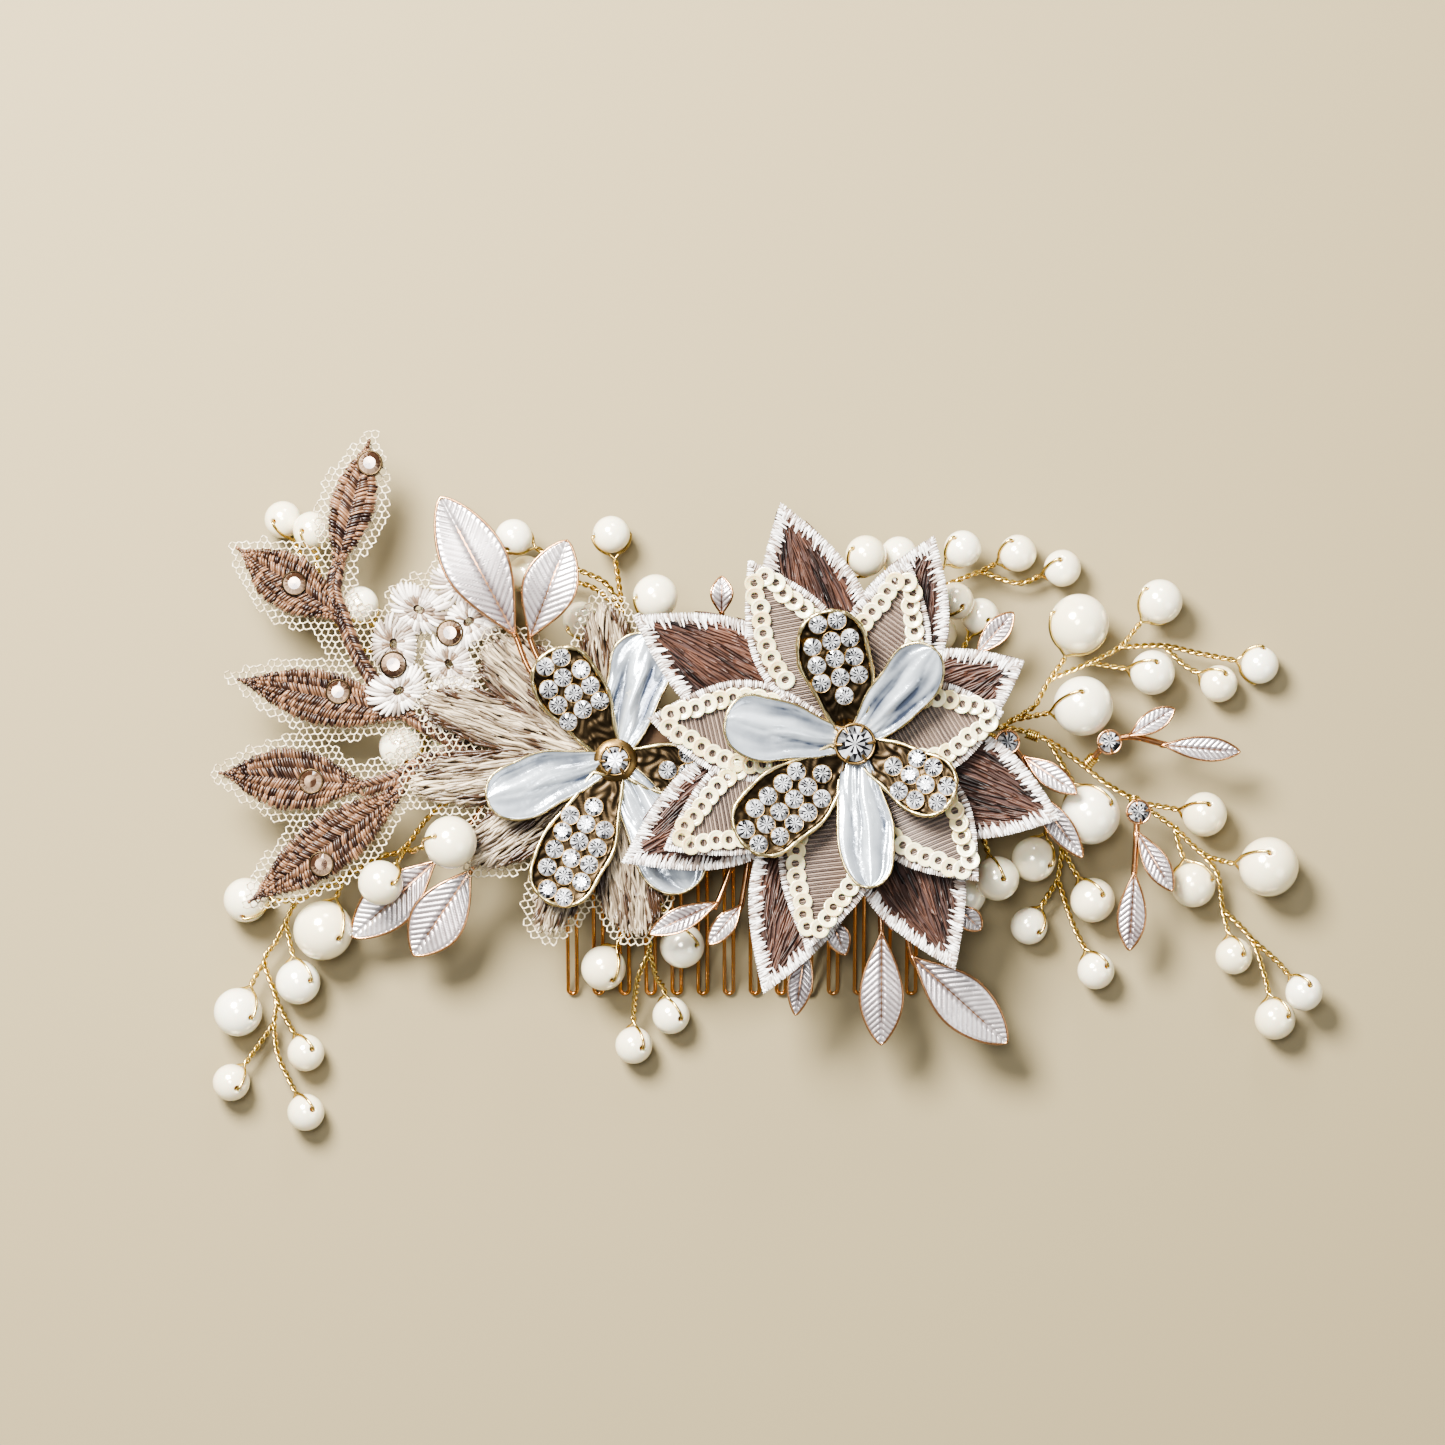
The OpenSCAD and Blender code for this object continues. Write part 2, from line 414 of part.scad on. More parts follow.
// Fabric petals round the right metal flower.
module fabric_layer(petals, tilt, hub_r, t) {
    difference() {
        union() {
            cylinder(h = t, r = hub_r);
            for (p = petals) rotate([0, -tilt, p[0]])
                linear_extrude(t) polygon(leaf_outline(p[1], p[2], 0.52));
        }
        translate([0, 0, -5]) cylinder(h = 10, d = 1.4);
    }
}
module brown_petals() {
    color("sienna") translate(brown_hub) fabric_layer(brown_petals, brown_tilt, 8, embroidery_t);
}
module organza_petals() {
    color("gray", 0.8) translate(organza_hub) fabric_layer(organza_petals, organza_tilt, 6, organza_t);
}
sequin_t = 0.3;
module sequin() {
    difference() {
        cylinder(h = sequin_t, d = sequin_d);
        translate([0, 0, -1]) cylinder(h = 2, d = 0.9);
    }
}
module sequins() {
    color("cornsilk") translate(organza_hub) for (p = organza_petals)
        rotate([0, -organza_tilt, p[0]]) translate([0, 0, organza_t + 0.1]) {
            for (i = [0:3], side = [-1, 1]) let (x = p[1] * 0.48 + i * sequin_pitch * 0.97)
                translate([x, side * max(1.7, leaf_half(x / p[1], p[2], 0.52) - 2.2), 0]) sequin();
            translate([p[1] * 0.48 + 4 * sequin_pitch * 0.97, 0, 0]) sequin();
        }
}

// Metal flowers.
module metal_petal(p, lift, t, inset) {
    rotate([0, -p[3], p[0]]) translate([inset * 4, 0, lift])
        linear_extrude(t) polygon(round_outline(p[1] - inset * 5, p[2] - 2 * inset, 3 - inset));
}
module flower_frame(hub, pave, enamel) {
    color("darkkhaki") translate(hub) difference() {
        union() {
            cylinder(h = cup_t + 0.3, d = 6);
            for (p = concat(pave, enamel)) metal_petal(p, 0, cup_t, 0);
        }
        translate([0, 0, -1]) cylinder(h = 1.4, d = 1.2);
        translate([0, 0, cup_t + 0.3]) cylinder(h = 4, d = 6.4);
    }
}
module flower_enamel(hub, pave, enamel) {
    color("lightsteelblue") translate(hub) difference() {
        for (p = enamel) metal_petal(p, cup_t, enamel_t, rim_w);
        for (p = pave) metal_petal(p, -1, cup_t + 2, 0);
        cylinder(h = 9, d = 8, center = true);
    }
}
// Places of the small stones on one petal, in rows across it, with one stone in the row at its root.
function pave_spots(length, w) =
    [for (x = [length - 0.75 * pave_d:-pave_pitch:6])
        let (n = x < 7 ? 1 : floor((2 * round_half(x / length, w, 3, 0.66) + 0.2) / pave_pitch))
        for (j = [0:n - 1]) [x, (j - (n - 1) / 2) * pave_pitch]];
module flower_stones(hub, pave) {
    color("whitesmoke") translate(hub) for (p = pave, s = pave_spots(p[1], p[2]))
        rotate([0, -p[3], p[0]]) translate([s.x, s.y, cup_t]) flat_stone(pave_d);
}
cup_h = 1.5;
module centre_cup(hub, d) {
    color("darkkhaki") translate(hub + [0, 0, cup_t + 0.3]) {
        cylinder(h = cup_h, d = d + 0.4);
        for (a = [0:60:300]) rotate(a) translate([d / 2 + 0.25, 0, 0]) cylinder(h = cup_h + 0.6, d = 0.7);
    }
}
module centre_stone(hub, d) {
    color("white") translate(hub + [0, 0, cup_t + 0.3 + cup_h]) flat_stone(d - 0.3);
}

// Enamelled leaves.
module leaf_plate(l, lift, t, inset) {
    lay(l[0], l[1]) translate([inset * 1.5, 0, lift])
        linear_extrude(t) polygon(leaf_outline(norm(l[1] - l[0]) - inset * 3, l[2] - 2 * inset));
}
// A point just under a leaf, at t from 0 at its base to 1 at its tip.
function leaf_point(l, t) = l[0] + t * (l[1] - l[0]) - [0, 0, 0.17];
module leaves(list, stem_routes) {
    color("peru") for (i = [0:len(list) - 1]) {
        leaf_plate(list[i], 0, leaf_t, 0);
        tube(concat([leaf_point(list[i], 0.2)], [leaf_point(list[i], -0.02)], stem_routes[i]), stem_wire);
    }
}
module leaf_face(l) {
    leaf_plate(l, leaf_t, enamel_t, rim_w);
}
module leaf_enamel() {
    color("thistle") for (l = concat(upper_left_leaves, lower_left_leaves, lower_right_leaves,
                                     lower_small_leaves, upper_small_leaves)) leaf_face(l);
}

// Twigs: a stone cup and two leaves on one metal stem.
module twig(w) {
    color("peru") {
        for (l = w[1]) leaf_plate(l, 0, leaf_t, 0);
        tube(w[2], 0.9);
        translate(w[0]) cylinder(h = 1, d = twig_cup_d);
    }
}
module twig_enamel() {
    color("thistle") for (w = twigs, l = w[1]) leaf_face(l);
}
module twig_stones() {
    color("whitesmoke") for (w = twigs) translate(w[0] + [0, 0, 1]) flat_stone(twig_stone_d);
}
// Turns of thin wire round each twig's foot, and the coil that ends on the right trunk.
module stem_bindings() {
    color("goldenrod") {
        for (w = twigs, k = [0:2]) lay(w[2][0], w[2][1])
            translate([0.4 + k * 0.36, 0, 0]) turn_of_wire(0.72, binding_wire);
        for (k = [0:3]) lay(right_trunks[1][1], right_trunks[1][2])
            translate([2 + k * 0.36, 0, 0]) turn_of_wire(0.66, binding_wire);
    }
}

comb_teeth();
comb_rails();
comb_binding();
flower_post(left_hub, 1, -1);  // left_flower_post
flower_post(right_hub, 2.2, -1);  // right_flower_post
tulle_panel();
sprig_embroidery();
sprig_stones();
lace_flower();
lace_stones();
beige_net();
beige_embroidery();
brown_petals();
organza_petals();
sequins();
flower_frame(left_hub, left_pave, left_enamel);  // left_flower_frame
flower_enamel(left_hub, left_pave, left_enamel);  // left_flower_enamel
flower_stones(left_hub, left_pave);  // left_flower_stones
centre_cup(left_hub, left_stone_d);  // left_centre_cup
centre_stone(left_hub, left_stone_d);  // left_centre_stone
flower_frame(right_hub, right_pave, right_enamel);  // right_flower_frame
flower_enamel(right_hub, right_pave, right_enamel);  // right_flower_enamel
flower_stones(right_hub, right_pave);  // right_flower_stones
centre_cup(right_hub, right_stone_d);  // right_centre_cup
centre_stone(right_hub, right_stone_d);  // right_centre_stone
leaves(upper_left_leaves, upper_left_leaf_stems);
leaves(lower_left_leaves, lower_left_leaf_stems);
leaves(lower_right_leaves, lower_right_leaf_stems);
leaves(lower_small_leaves, lower_small_leaf_stems);
leaves(upper_small_leaves, upper_small_leaf_stems);
leaf_enamel();
for (i = [0:2]) twig(twigs[i]);
twig_enamel();
twig_stones();
stem_bindings();
stems(right_trunks, concat(right_pearls, right_turning));  // right_stems
stems(left_trunks, concat(left_pearls, left_turning));  // left_stems
stems(top_trunks, concat(top_pearls, top_turning));  // top_stems
stems(bottom_trunks, concat(bottom_pearls, bottom_turning));  // bottom_stems
pearls(right_pearls);
pearls(left_pearls);
pearls(top_pearls);
pearls(bottom_pearls);
for (i = [0:len(turning_names) - 1])
    pearls([turning_pearls[i]]);
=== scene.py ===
"""Decorative hair comb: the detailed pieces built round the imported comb. Lengths are in millimetres
until a mesh is made. The origin is the middle of the comb's rail, +X along it, +Z to the front."""
import math

import bpy
import numpy as np
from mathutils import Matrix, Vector


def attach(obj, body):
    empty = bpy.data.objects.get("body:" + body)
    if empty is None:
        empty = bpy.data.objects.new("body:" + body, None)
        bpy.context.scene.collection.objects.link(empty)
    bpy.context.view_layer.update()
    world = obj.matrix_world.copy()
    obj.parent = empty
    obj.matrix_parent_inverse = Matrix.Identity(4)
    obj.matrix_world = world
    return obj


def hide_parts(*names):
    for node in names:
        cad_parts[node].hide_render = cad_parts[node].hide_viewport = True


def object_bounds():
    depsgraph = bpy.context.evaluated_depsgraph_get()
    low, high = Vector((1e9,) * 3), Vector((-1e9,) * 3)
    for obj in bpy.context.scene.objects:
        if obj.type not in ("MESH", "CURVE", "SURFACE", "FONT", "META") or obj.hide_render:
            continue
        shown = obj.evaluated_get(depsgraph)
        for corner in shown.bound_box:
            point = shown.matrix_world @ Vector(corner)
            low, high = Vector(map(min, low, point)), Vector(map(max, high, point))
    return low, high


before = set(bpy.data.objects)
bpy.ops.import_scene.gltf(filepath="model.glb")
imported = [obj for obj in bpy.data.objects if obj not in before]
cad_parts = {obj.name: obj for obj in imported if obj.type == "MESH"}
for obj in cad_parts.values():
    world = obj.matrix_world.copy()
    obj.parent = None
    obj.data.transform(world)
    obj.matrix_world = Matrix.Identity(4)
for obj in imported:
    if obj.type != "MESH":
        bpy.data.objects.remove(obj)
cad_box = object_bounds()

MM = 0.001
RIG = "ornament"
rng = np.random.default_rng(11)

# ---------------------------------------------------------------- sizes and places

STRAND_R = 0.19      # one strand of a twisted stem
TWIST_R = 0.23       # how far a strand runs from the stem's middle
TWIST_PITCH = 2.2    # length of one full twist
LOOP_ROOM = 0.22     # between a pearl and the strand round it
CAD_LOOP = 0.45      # a stem ends this far from its pearl
THREAD = 0.3         # distance between satin stitches
TOOTH_PITCH = 3.5    # distance between the comb's teeth
TOOTH_GAPS = 13
PAVE_PITCH = 2.5     # distance between the stones of a petal
PAVE_STONE = 2.44
PAVE_SEAT = 1.06     # height of a stone's girdle over its petal
SEQUIN_PITCH = 1.72
CLOTH_PEAK = 0.52    # where a cloth petal is widest, along its length
ROUND_PEAK = 0.66    # the same for a round silk lobe
LEAF_PEAK = 0.45     # the same for a lobe of the sprig

LEFT_HUB = np.array([-16.8, -2.7, 5.0])
RIGHT_HUB = np.array([14.8, -0.5, 9.2])
BROWN_HUB = np.array([14.8, -0.5, 5.4])
ORGANZA_HUB = np.array([14.8, -0.5, 6.9])
NET_Z = 1.55
SPRIG_Z = 1.75
LACE_Z = 2.5
BEIGE_Z = 3.5
BROWN_TILT = 4
ORGANZA_TILT = 6

# Metal petals: direction, length, width, tilt.
LEFT_PAVE = [(122, 17, 8, 7), (246, 20.8, 9, 6), (350, 16, 8, -1)]
LEFT_ENAMEL = [(75, 17.3, 8.5, 1), (197, 17.9, 7.5, 8), (300, 19.7, 8.5, -1)]
RIGHT_PAVE = [(103, 18.2, 8.7, 10), (222, 20, 9.5, 9), (330, 15, 8, 11)]
RIGHT_ENAMEL = [(50, 16.7, 7.5, 12), (170, 17.8, 8, 11), (276, 19.3, 7, 10)]

# Fabric petals: direction, length, width.
BROWN_PETALS = [(107, 33.2, 14), (150, 33.7, 14), (207, 34.4, 15), (250, 35, 14),
                (294, 32.5, 14), (340, 28.9, 14), (26, 24.9, 13), (69, 29.3, 13)]
ORGANZA_PETALS = [(120, 27.9, 12), (173, 27.4, 13), (209, 28.8, 13), (257, 27.8, 13),
                  (312, 24.3, 13), (12, 20, 12), (73, 24.9, 12)]

# Sprig: tip, base, width and stone of each lobe, then its two stems.
SPRIG_LOBES = [((-49.5, 40), (-53.9, 23.1), 5.8, (-49.5, 36.8)),
               ((-67.1, 25.5), (-53.3, 16.4), 7.3, (-59.5, 20.8)),
               ((-67.2, 8.1), (-44.7, 3.2), 7, (-53.7, 6.4)),
               ((-69.5, -4.4), (-50.3, -6), 8, (-57.3, -5.5)),
               ((-65.6, -21.6), (-45.1, -6.7), 7.3, (-55.9, -16.5))]
SPRIG_STEM = [(-53.9, 23.1), (-54.3, 19.7), (-52.9, 15.7), (-51.5, 12), (-49.6, 8.7),
              (-47.7, 6.3), (-44.7, 3.5), (-41.6, 1.6), (-38.5, -0.1), (-35.6, -1.5)]
SPRIG_ROOT = [(-34.5, -2), (-41.6, -2.7), (-45.3, -4.8), (-50.3, -6.5)]
SPRIG_FORKS = [SPRIG_STEM[1], SPRIG_STEM[2], SPRIG_STEM[6], SPRIG_ROOT[3], SPRIG_ROOT[2]]
LACE_LOBES = [(-42.9, 17.3), (-36.3, 15.7), (-46.3, 12.7), (-38.9, 10), (-37.1, 21.2),
              (-39.2, 5.5), (-45.6, 6.5)]
LACE_STONES = [(-38.8, 14.2), (-46.3, 10)]
BEIGE_LOBES = [((-34, 12.7), 9), ((-42.3, 5.3), 7), ((-44, -6), 7), ((-36, -16), 8),
               ((-26.3, -25.3), 7), ((-14, -25.7), 9), ((-18.2, 18), 6.8)]

# Leaves: base, tip, width, and the wire from the base back to the comb.
LEAVES = {
    "upper_left_leaves": [
        ((-30, 13.7, 5.1), (-39.9, 32.1, 5.8), 7.7,
         [(-28, 9, 5), (-23.5, 4.2, 4.95), (-20.5, 1.2, 4.95)]),
        ((-28.1, 13.5, 5.1), (-23.1, 26.4, 6.6), 6.4,
         [(-26, 9, 5), (-22, 4.6, 4.95), (-19.4, 1.4, 4.95)])],
    "lower_left_leaves": [
        ((-36.1, -17.3, 0.6), (-43.7, -28.7, -0.6), 6.5,
         [(-32, -10, 0.8), (-28, -5, 1), (-25, -2.4, 1)]),
        ((-40.8, -16.1, -0.7), (-52, -26.3, -2.4), 6,
         [(-36, -11, -0.9), (-32, -5, -1), (-26, -2.4, -0.8)])],
    "lower_right_leaves": [
        ((18.5, -25.3, 3.2), (18.5, -40.5, 1), 5.2, [(18, -16, 3), (17, -6, 2.2), (16, -2.4, 1.2)]),
        ((22.5, -28.7, 2.6), (35.2, -40.3, 0), 6.4, [(21, -18, 2.8), (20, -6, 2.2), (19, -2.4, 1.2)])],
    "lower_small_leaves": [
        ((8.5, -26.7, 3), (7.1, -36.5, 2.6), 2.9, [(8, -16, 3), (6, -6, 2.2), (5, -2.4, 1.2)]),
        ((-0.1, -21.9, 2.8), (-4.4, -27.1, 2.6), 2.5, [(1, -14, 3), (1, -6, 2.2), (1, -2.4, 1.2)]),
        ((-3.2, -21.5, 4), (-12.3, -25.7, 4.7), 2.8, [(-1, -14, 3), (-2, -6, 2.2), (-2, -2.4, 1.2)]),
        ((11.6, -23.3, 2.8), (13.7, -28.5, 2.6), 2.7, [(10.5, -14, 3), (9, -6, 2.2), (8, -2.4, 1.2)]),
        ((28.4, -22, 1.6), (31.7, -25.2, 1), 2.6, [(26, -16, 1.8), (24, -6, 1.8), (22, -2.4, 1.2)])],
    "upper_small_leaves": [
        ((-2.7, 16.7, 2.6), (-2.7, 21.7, 3), 2.6, [(-2.5, 11, 2.4), (-4, 6, 1), (-6, 2.4, 0.2)]),
        ((31.1, 11.3, 0), (36.1, 16.9, -0.4), 2.8, [(28, 7, 0.4), (25, 4.4, 1), (22, 3.6, 1)])]}

# Twigs: stone, two leaves, stem.
TWIGS = [
    ((48.9, -0.3, 0.6),
     [((51.5, 0.5, 0.6), (57.5, 4.1, 0.2), 2.6), ((55.9, -0.7, 0.3), (66.3, -1.6, -0.6), 2.9)],
     [(46, -3.4, -1.2), (47.4, -1.8, -0.4), (48.9, -0.3, 0.4), (51.9, 0.4, 0.6), (56.6, -0.7, 0.4)]),
    ((35.2, -0.3, 3),
     [((37.5, -2.3, 2.4), (44.4, -7.1, 3.4), 2.8), ((38.4, -6.5, 2), (45.2, -15.6, 2.4), 3)],
     [(32, 0.4, 1.6), (33.6, 0, 2.2), (35.2, -0.3, 2.7), (37.2, -2.6, 2.5), (38.6, -6.8, 2.1)]),
    ((52.8, -9.6, 0),
     [((52.6, -12.2, 0), (57.3, -20.1, 0), 2.9), ((52.3, -17.6, -0.4), (51.7, -28, -1.6), 3.4)],
     [(52.4, -7.6, -1.8), (52.6, -9.6, -0.4), (52.6, -13, -0.1), (52.3, -17.9, -0.3)])]

# Trunks of twisted wire, from the rail outwards.
TRUNKS = {
    "right_stems": [
        [(20, 2.4, 0), (27, 2.4, 0.2), (33.7, 1.6, 0.4), (36, 2.6, 0.1), (39.1, 4.5, 0)],
        [(33.7, 1.6, 0.4), (36.5, 1.4, 0), (40.9, -0.1, -0.9), (45.2, -3.1, -2.2), (48.8, -5.9, -2.6),
         (53.1, -8.4, -3), (58, -11.8, -3.6)],
        [(24.5, 2.6, -1), (31, 0.8, -1.4), (35, -4, -2), (39, -8, -2.6), (41.4, -11, -3),
         (42.8, -14.1, -3.7), (42.4, -18.8, -5)],
        [(27, 2.4, 0.2), (30, -4, 0.2), (31.6, -11, 0.4)],
        [(24.5, 2.6, -1), (26.8, -5, -1.4), (28.5, -11, -2)]],
    "left_stems": [
        [(-24, 2.4, -1), (-27.5, 1, -1.6), (-33, -4, -2.2), (-41.1, -9.6, -2.4), (-45.3, -14.6, -2.6),
         (-48.4, -15.7, -2.6), (-53.2, -18.4, -2.2), (-59.3, -21.6, -3), (-61.1, -24.5, -3.6),
         (-62.5, -27.2, -4.2), (-64, -29.7, -4.6), (-62.5, -34.7, -5), (-62.8, -38.1, -5)],
        [(-24, 2.4, -1), (-31, 2.6, -1.3), (-37.5, 2.2, -1.4), (-42, 7, -1.2), (-46, 11, -1.2),
         (-51.5, 12.5, -2.6), (-55, 17, -2.8), (-56.2, 21, -2)]],
    "top_stems": [
        [(-14, 2.4, 0), (-15, 9, -1), (-16, 17, -2.4)],
        [(-14, 2.4, 0), (-12, 4, 0.2), (-12, 10, 0.4)],
        [(12, 2.4, 0), (11, 9, 0.5), (12.5, 16, 0.6)],
        [(12, 2.4, 0), (18, 4, 0), (22, 12, 0), (22, 19, -0.6)],
        [(12, 2.4, 0), (17, 3, -1.2), (22, 8, -2.8)],
        [(22, 8, -2.8), (22.5, 14, -4.4), (25, 19.6, -4.6), (28, 21, -4.6), (32, 22.6, -4.6)]],
    "bottom_stems": [
        [(-12, -2.6, 0.9), (-12, -12, 1.4), (-12.3, -20, 1.6), (-12.3, -26.3, 1.4), (-12.3, -28.1, 1)]]}

# Pearls: centre, diameter, tilt of the drilled hole, wire route from where it leaves the trunk.
PEARLS = {
    "right": [
        ((55, 9, -3.5), 6, 60, [(46.5, 10.3, -2), (49.5, 9.8, -3)]),
        ((64, 7.5, -5), 5, 50, [(56.5, 12.6, -4.3), (59.5, 9.9, -4.8)]),
        ((69.5, 10, -5), 5, 20, [(50.5, 12.4, -3), (56.5, 12.6, -4.3), (61.2, 11.6, -5)]),
        ((62, -10, -4), 6, 60, [(53.1, -8.4, -3), (56.5, -9, -3.6)]),
        ((60.5, -19.5, -4.4), 6, 30, [(58, -11.8, -3.6), (58.6, -14.2, -4)]),
        ((47, -21.5, -4), 6, 60, [(42.8, -14.1, -3.7), (44.2, -17, -4)]),
        ((39, -16, -2.5), 6, 40, [(41.4, -11, -3), (40.8, -12, -2.8)]),
        ((34, -18.5, -0.2), 6, 75, [(31.6, -11, 0.4), (32.4, -13.8, 0.2)]),
        ((29.5, -20.5, -4.1), 6.5, -40, [(28.5, -11, -2), (28.6, -15, -3.6)]),
        ((38.5, -25, -5), 5, 50, [(42.4, -18.8, -5), (41, -21, -5)]),
        ((47.5, -31, -5), 5, 50, [(42.4, -18.8, -5), (44.4, -24.7, -5)]),
        ((66, -29, -5), 5, 60, [(61.7, -15.2, -4.3), (63.8, -18.1, -4.6), (64.5, -22.7, -5)]),
        ((71.5, -37.5, -4.7), 5.5, 50, [(64.5, -22.7, -5), (68.3, -26.7, -5), (70, -31.2, -5)]),
        ((75.2, -33.8, -2.9), 5, 60, [(68.3, -26.7, -5), (71.6, -29.6, -4)])],
    "left": [
        ((-61.5, 29.5, -4.4), 5, 60, [(-56.2, 21, -2), (-57.9, 22.8, -3), (-59.6, 25.6, -4)]),
        ((-57.5, 28, -1.6), 5, 60, [(-56.2, 21, -2), (-56.8, 23.7, -1.7)]),
        ((-51, 18, -1.3), 5, 40, [(-46, 11, -1.2), (-48, 13.5, -1.2)]),
        ((-45.5, -1, -1.7), 6, 40, [(-37.5, 2.2, -1.4), (-40.5, 1.4, -1.4)]),
        ((-39.5, -1.5, -4.9), 5, 40, [(-31, 2.6, -1.3), (-34, 1.4, -3.6)]),
        ((-66.5, -21.5, -4.4), 6, 40, [(-59.3, -21.6, -3), (-61, -21.6, -3.8)]),
        ((-48, -19, 3.2), 6, 60, [(-45.3, -14.6, -2.6), (-45.4, -15.4, 0), (-45.9, -16.2, 1.6)]),
        ((-59.5, -32.5, -4.4), 6, 50, [(-61.1, -24.5, -3.6), (-60.6, -27, -4.2)]),
        ((-58.5, -42, -5), 5, 60, [(-62.5, -34.7, -5), (-61.4, -37, -5)]),
        ((-68.5, -46, -5), 5, 60, [(-62.8, -38.1, -5), (-65, -41.2, -5)]),
        ((-58.5, -50, -5), 5, 60, [(-62.8, -38.1, -5), (-62.3, -42.1, -5), (-60.8, -45.5, -5)])],
    "top": [
        ((-30.5, 27, -1.6), 5, 40,
         [(-16, 17, -2.4), (-18.1, 20.8, -1.8), (-22, 22.8, -1.6), (-26.3, 25, -1.6)]),
        ((-29, 22.2, -4.8), 5, 30, [(-16, 17, -2.4), (-20, 20.4, -4.2), (-24.4, 21.4, -4.8)]),
        ((-21.5, 16, -3), 5, 30, [(-15, 9, -1), (-18.5, 12, -2.4)]),
        ((-11.5, 19, 3.2), 6, 30, [(-12, 10, 0.4), (-11.8, 13, 2.2)]),
        ((16.5, 24.5, 1), 5.5, 40, [(12.5, 16, 0.6), (14, 20, 0.8)]),
        ((21, 24.7, -2.4), 5, -60, [(12.5, 16, 0.6), (16.5, 18.5, -0.8), (19, 21.2, -2)]),
        ((29.5, 25.5, -2), 5, 40, [(22, 19, -0.6), (25.5, 22, -1.6)]),
        ((37, 25, -4.4), 5, 40, [(32, 22.6, -4.6), (33.2, 23.2, -4.6)]),
        ((43, 23, -4.9), 5, 60, [(32, 22.6, -4.6), (37, 21, -4.9)]),
        ((28.5, 18.5, -1), 5, -60, [(22, 12, 0), (24.5, 15, -0.6)]),
        ((32, 16.5, -4.4), 5, -60, [(22, 8, -2.8), (26.4, 9, -4), (29.4, 12, -4.4)]),
        ((26.3, 14.2, -4.1), 5, 30, [(22, 8, -2.8), (23.6, 10.6, -3.8)])],
    "bottom": [
        ((-8, -27.5, -1.1), 6, 50, [(-12.3, -20, 1.6), (-10.4, -22.6, 0.8)]),
        ((-9.5, -37, -4.9), 5, 60, [(-12.3, -28.1, 1), (-11.5, -31.5, -1), (-10.6, -33, -3.4)]),
        ((-14.5, -41, -5), 5, 60, [(-12.3, -28.1, 1), (-13.9, -32, -1), (-14.5, -36.6, -4.4)])]}
# Pearls that turn on their wires: the same, by the name of their body.
TURNING = {
    "right_pearl_upper": ((45, 15.5, -1), 8, 20, [(39.1, 4.5, 0), (41, 8, -0.4), (42.8, 10.4, -0.8)]),
    "right_pearl_near": ((45.5, 4.5, -0.4), 8, 60, [(36, 2.6, 0.1), (39.4, 3.3, -0.2)]),
    "right_pearl_middle": ((46.5, -10, -1), 8, 40, [(40.9, -0.1, -0.9), (43.2, -4, -1)]),
    "right_pearl_far": ((70.5, -17, -3), 8, 60,
                        [(58, -11.8, -3.6), (61.7, -15.2, -4.3), (65, -16.4, -3.6)]),
    "right_pearl_outer": ((56, 18.5, -3.5), 6, 30,
                          [(41, 8, -0.4), (46.5, 10.3, -2), (50.5, 12.4, -3), (53, 15.2, -3.5)]),
    "left_pearl_front": ((-38.5, -13.5, 8.1), 7, 70,
                         [(-45.3, -14.6, -2.6), (-43.8, -14.8, 1), (-43, -14.4, 5)]),
    "left_pearl_large": ((-56, -25.5, -2.4), 8, 50, [(-53.2, -18.4, -2.2), (-53.8, -20, -2.2)]),
    "left_pearl_outer": ((-67.5, -36.5, -3.8), 6.5, 50, [(-64, -29.7, -4.6), (-65.1, -31.5, -4.4)]),
    "top_pearl": ((-17.5, 27.5, -4), 5, 20, [(-16, 17, -2.4), (-16.5, 21, -3.4)]),
    "bottom_pearl": ((-18.5, -30.5, -1.7), 6, 50,
                     [(-12.3, -20, 1.6), (-14.6, -23.6, 1), (-15.8, -26, 0.1)])}

# ---------------------------------------------------------------- meshes


class Shape:
    """Collects points, faces and a shade for each corner of a face, and makes one mesh of them."""

    def __init__(self):
        self.points, self.shades, self.corners, self.sizes, self.count = [], [], [], [], 0

    def add(self, points, faces, shade=0.5):
        """Points and faces between them; shade is one number or one for each point."""
        points = np.asarray(points, float).reshape(-1, 3)
        self.points.append(points)
        first = self.count
        self.count += len(points)
        self.add_faces(faces, first, np.broadcast_to(np.asarray(shade, float), len(points))[faces])
        return first

    def add_faces(self, faces, first, shade=0.5):
        """Faces between points that are there, counted from first; shade is for each face or corner."""
        faces = np.asarray(faces, int)
        self.corners.append((faces + first).ravel())
        self.shades.append(np.broadcast_to(np.asarray(shade, float), faces.shape).ravel())
        self.sizes.append(np.full(len(faces), faces.shape[1]))

    def make(self, name, look, slot, body=RIG, replaces=(), smooth=True):
        mesh = bpy.data.meshes.new(name)
        points, corners = np.concatenate(self.points) * MM, np.concatenate(self.corners)
        sizes = np.concatenate(self.sizes)
        mesh.vertices.add(len(points))
        mesh.vertices.foreach_set("co", points.astype(np.float32).ravel())
        mesh.loops.add(len(corners))
        mesh.loops.foreach_set("vertex_index", corners.astype(np.int32))
        mesh.polygons.add(len(sizes))
        mesh.polygons.foreach_set("loop_start", (np.cumsum(sizes) - sizes).astype(np.int32))
        mesh.polygons.foreach_set("use_smooth", np.full(len(sizes), smooth))
        shade = mesh.attributes.new("shade", "FLOAT", "CORNER")
        shade.data.foreach_set("value", np.concatenate(self.shades).astype(np.float32))
        mesh.update(calc_edges=True)
        mesh.validate()
        mesh.materials.append(look)
        piece = bpy.data.objects.new(name, mesh)
        bpy.context.scene.collection.objects.link(piece)
        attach(piece, body)
        if replaces:
            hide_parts(*replaces)
        return piece


def unit(v):
    v = np.asarray(v, float)
    return v / np.maximum(np.linalg.norm(v, axis=-1, keepdims=True), 1e-9)


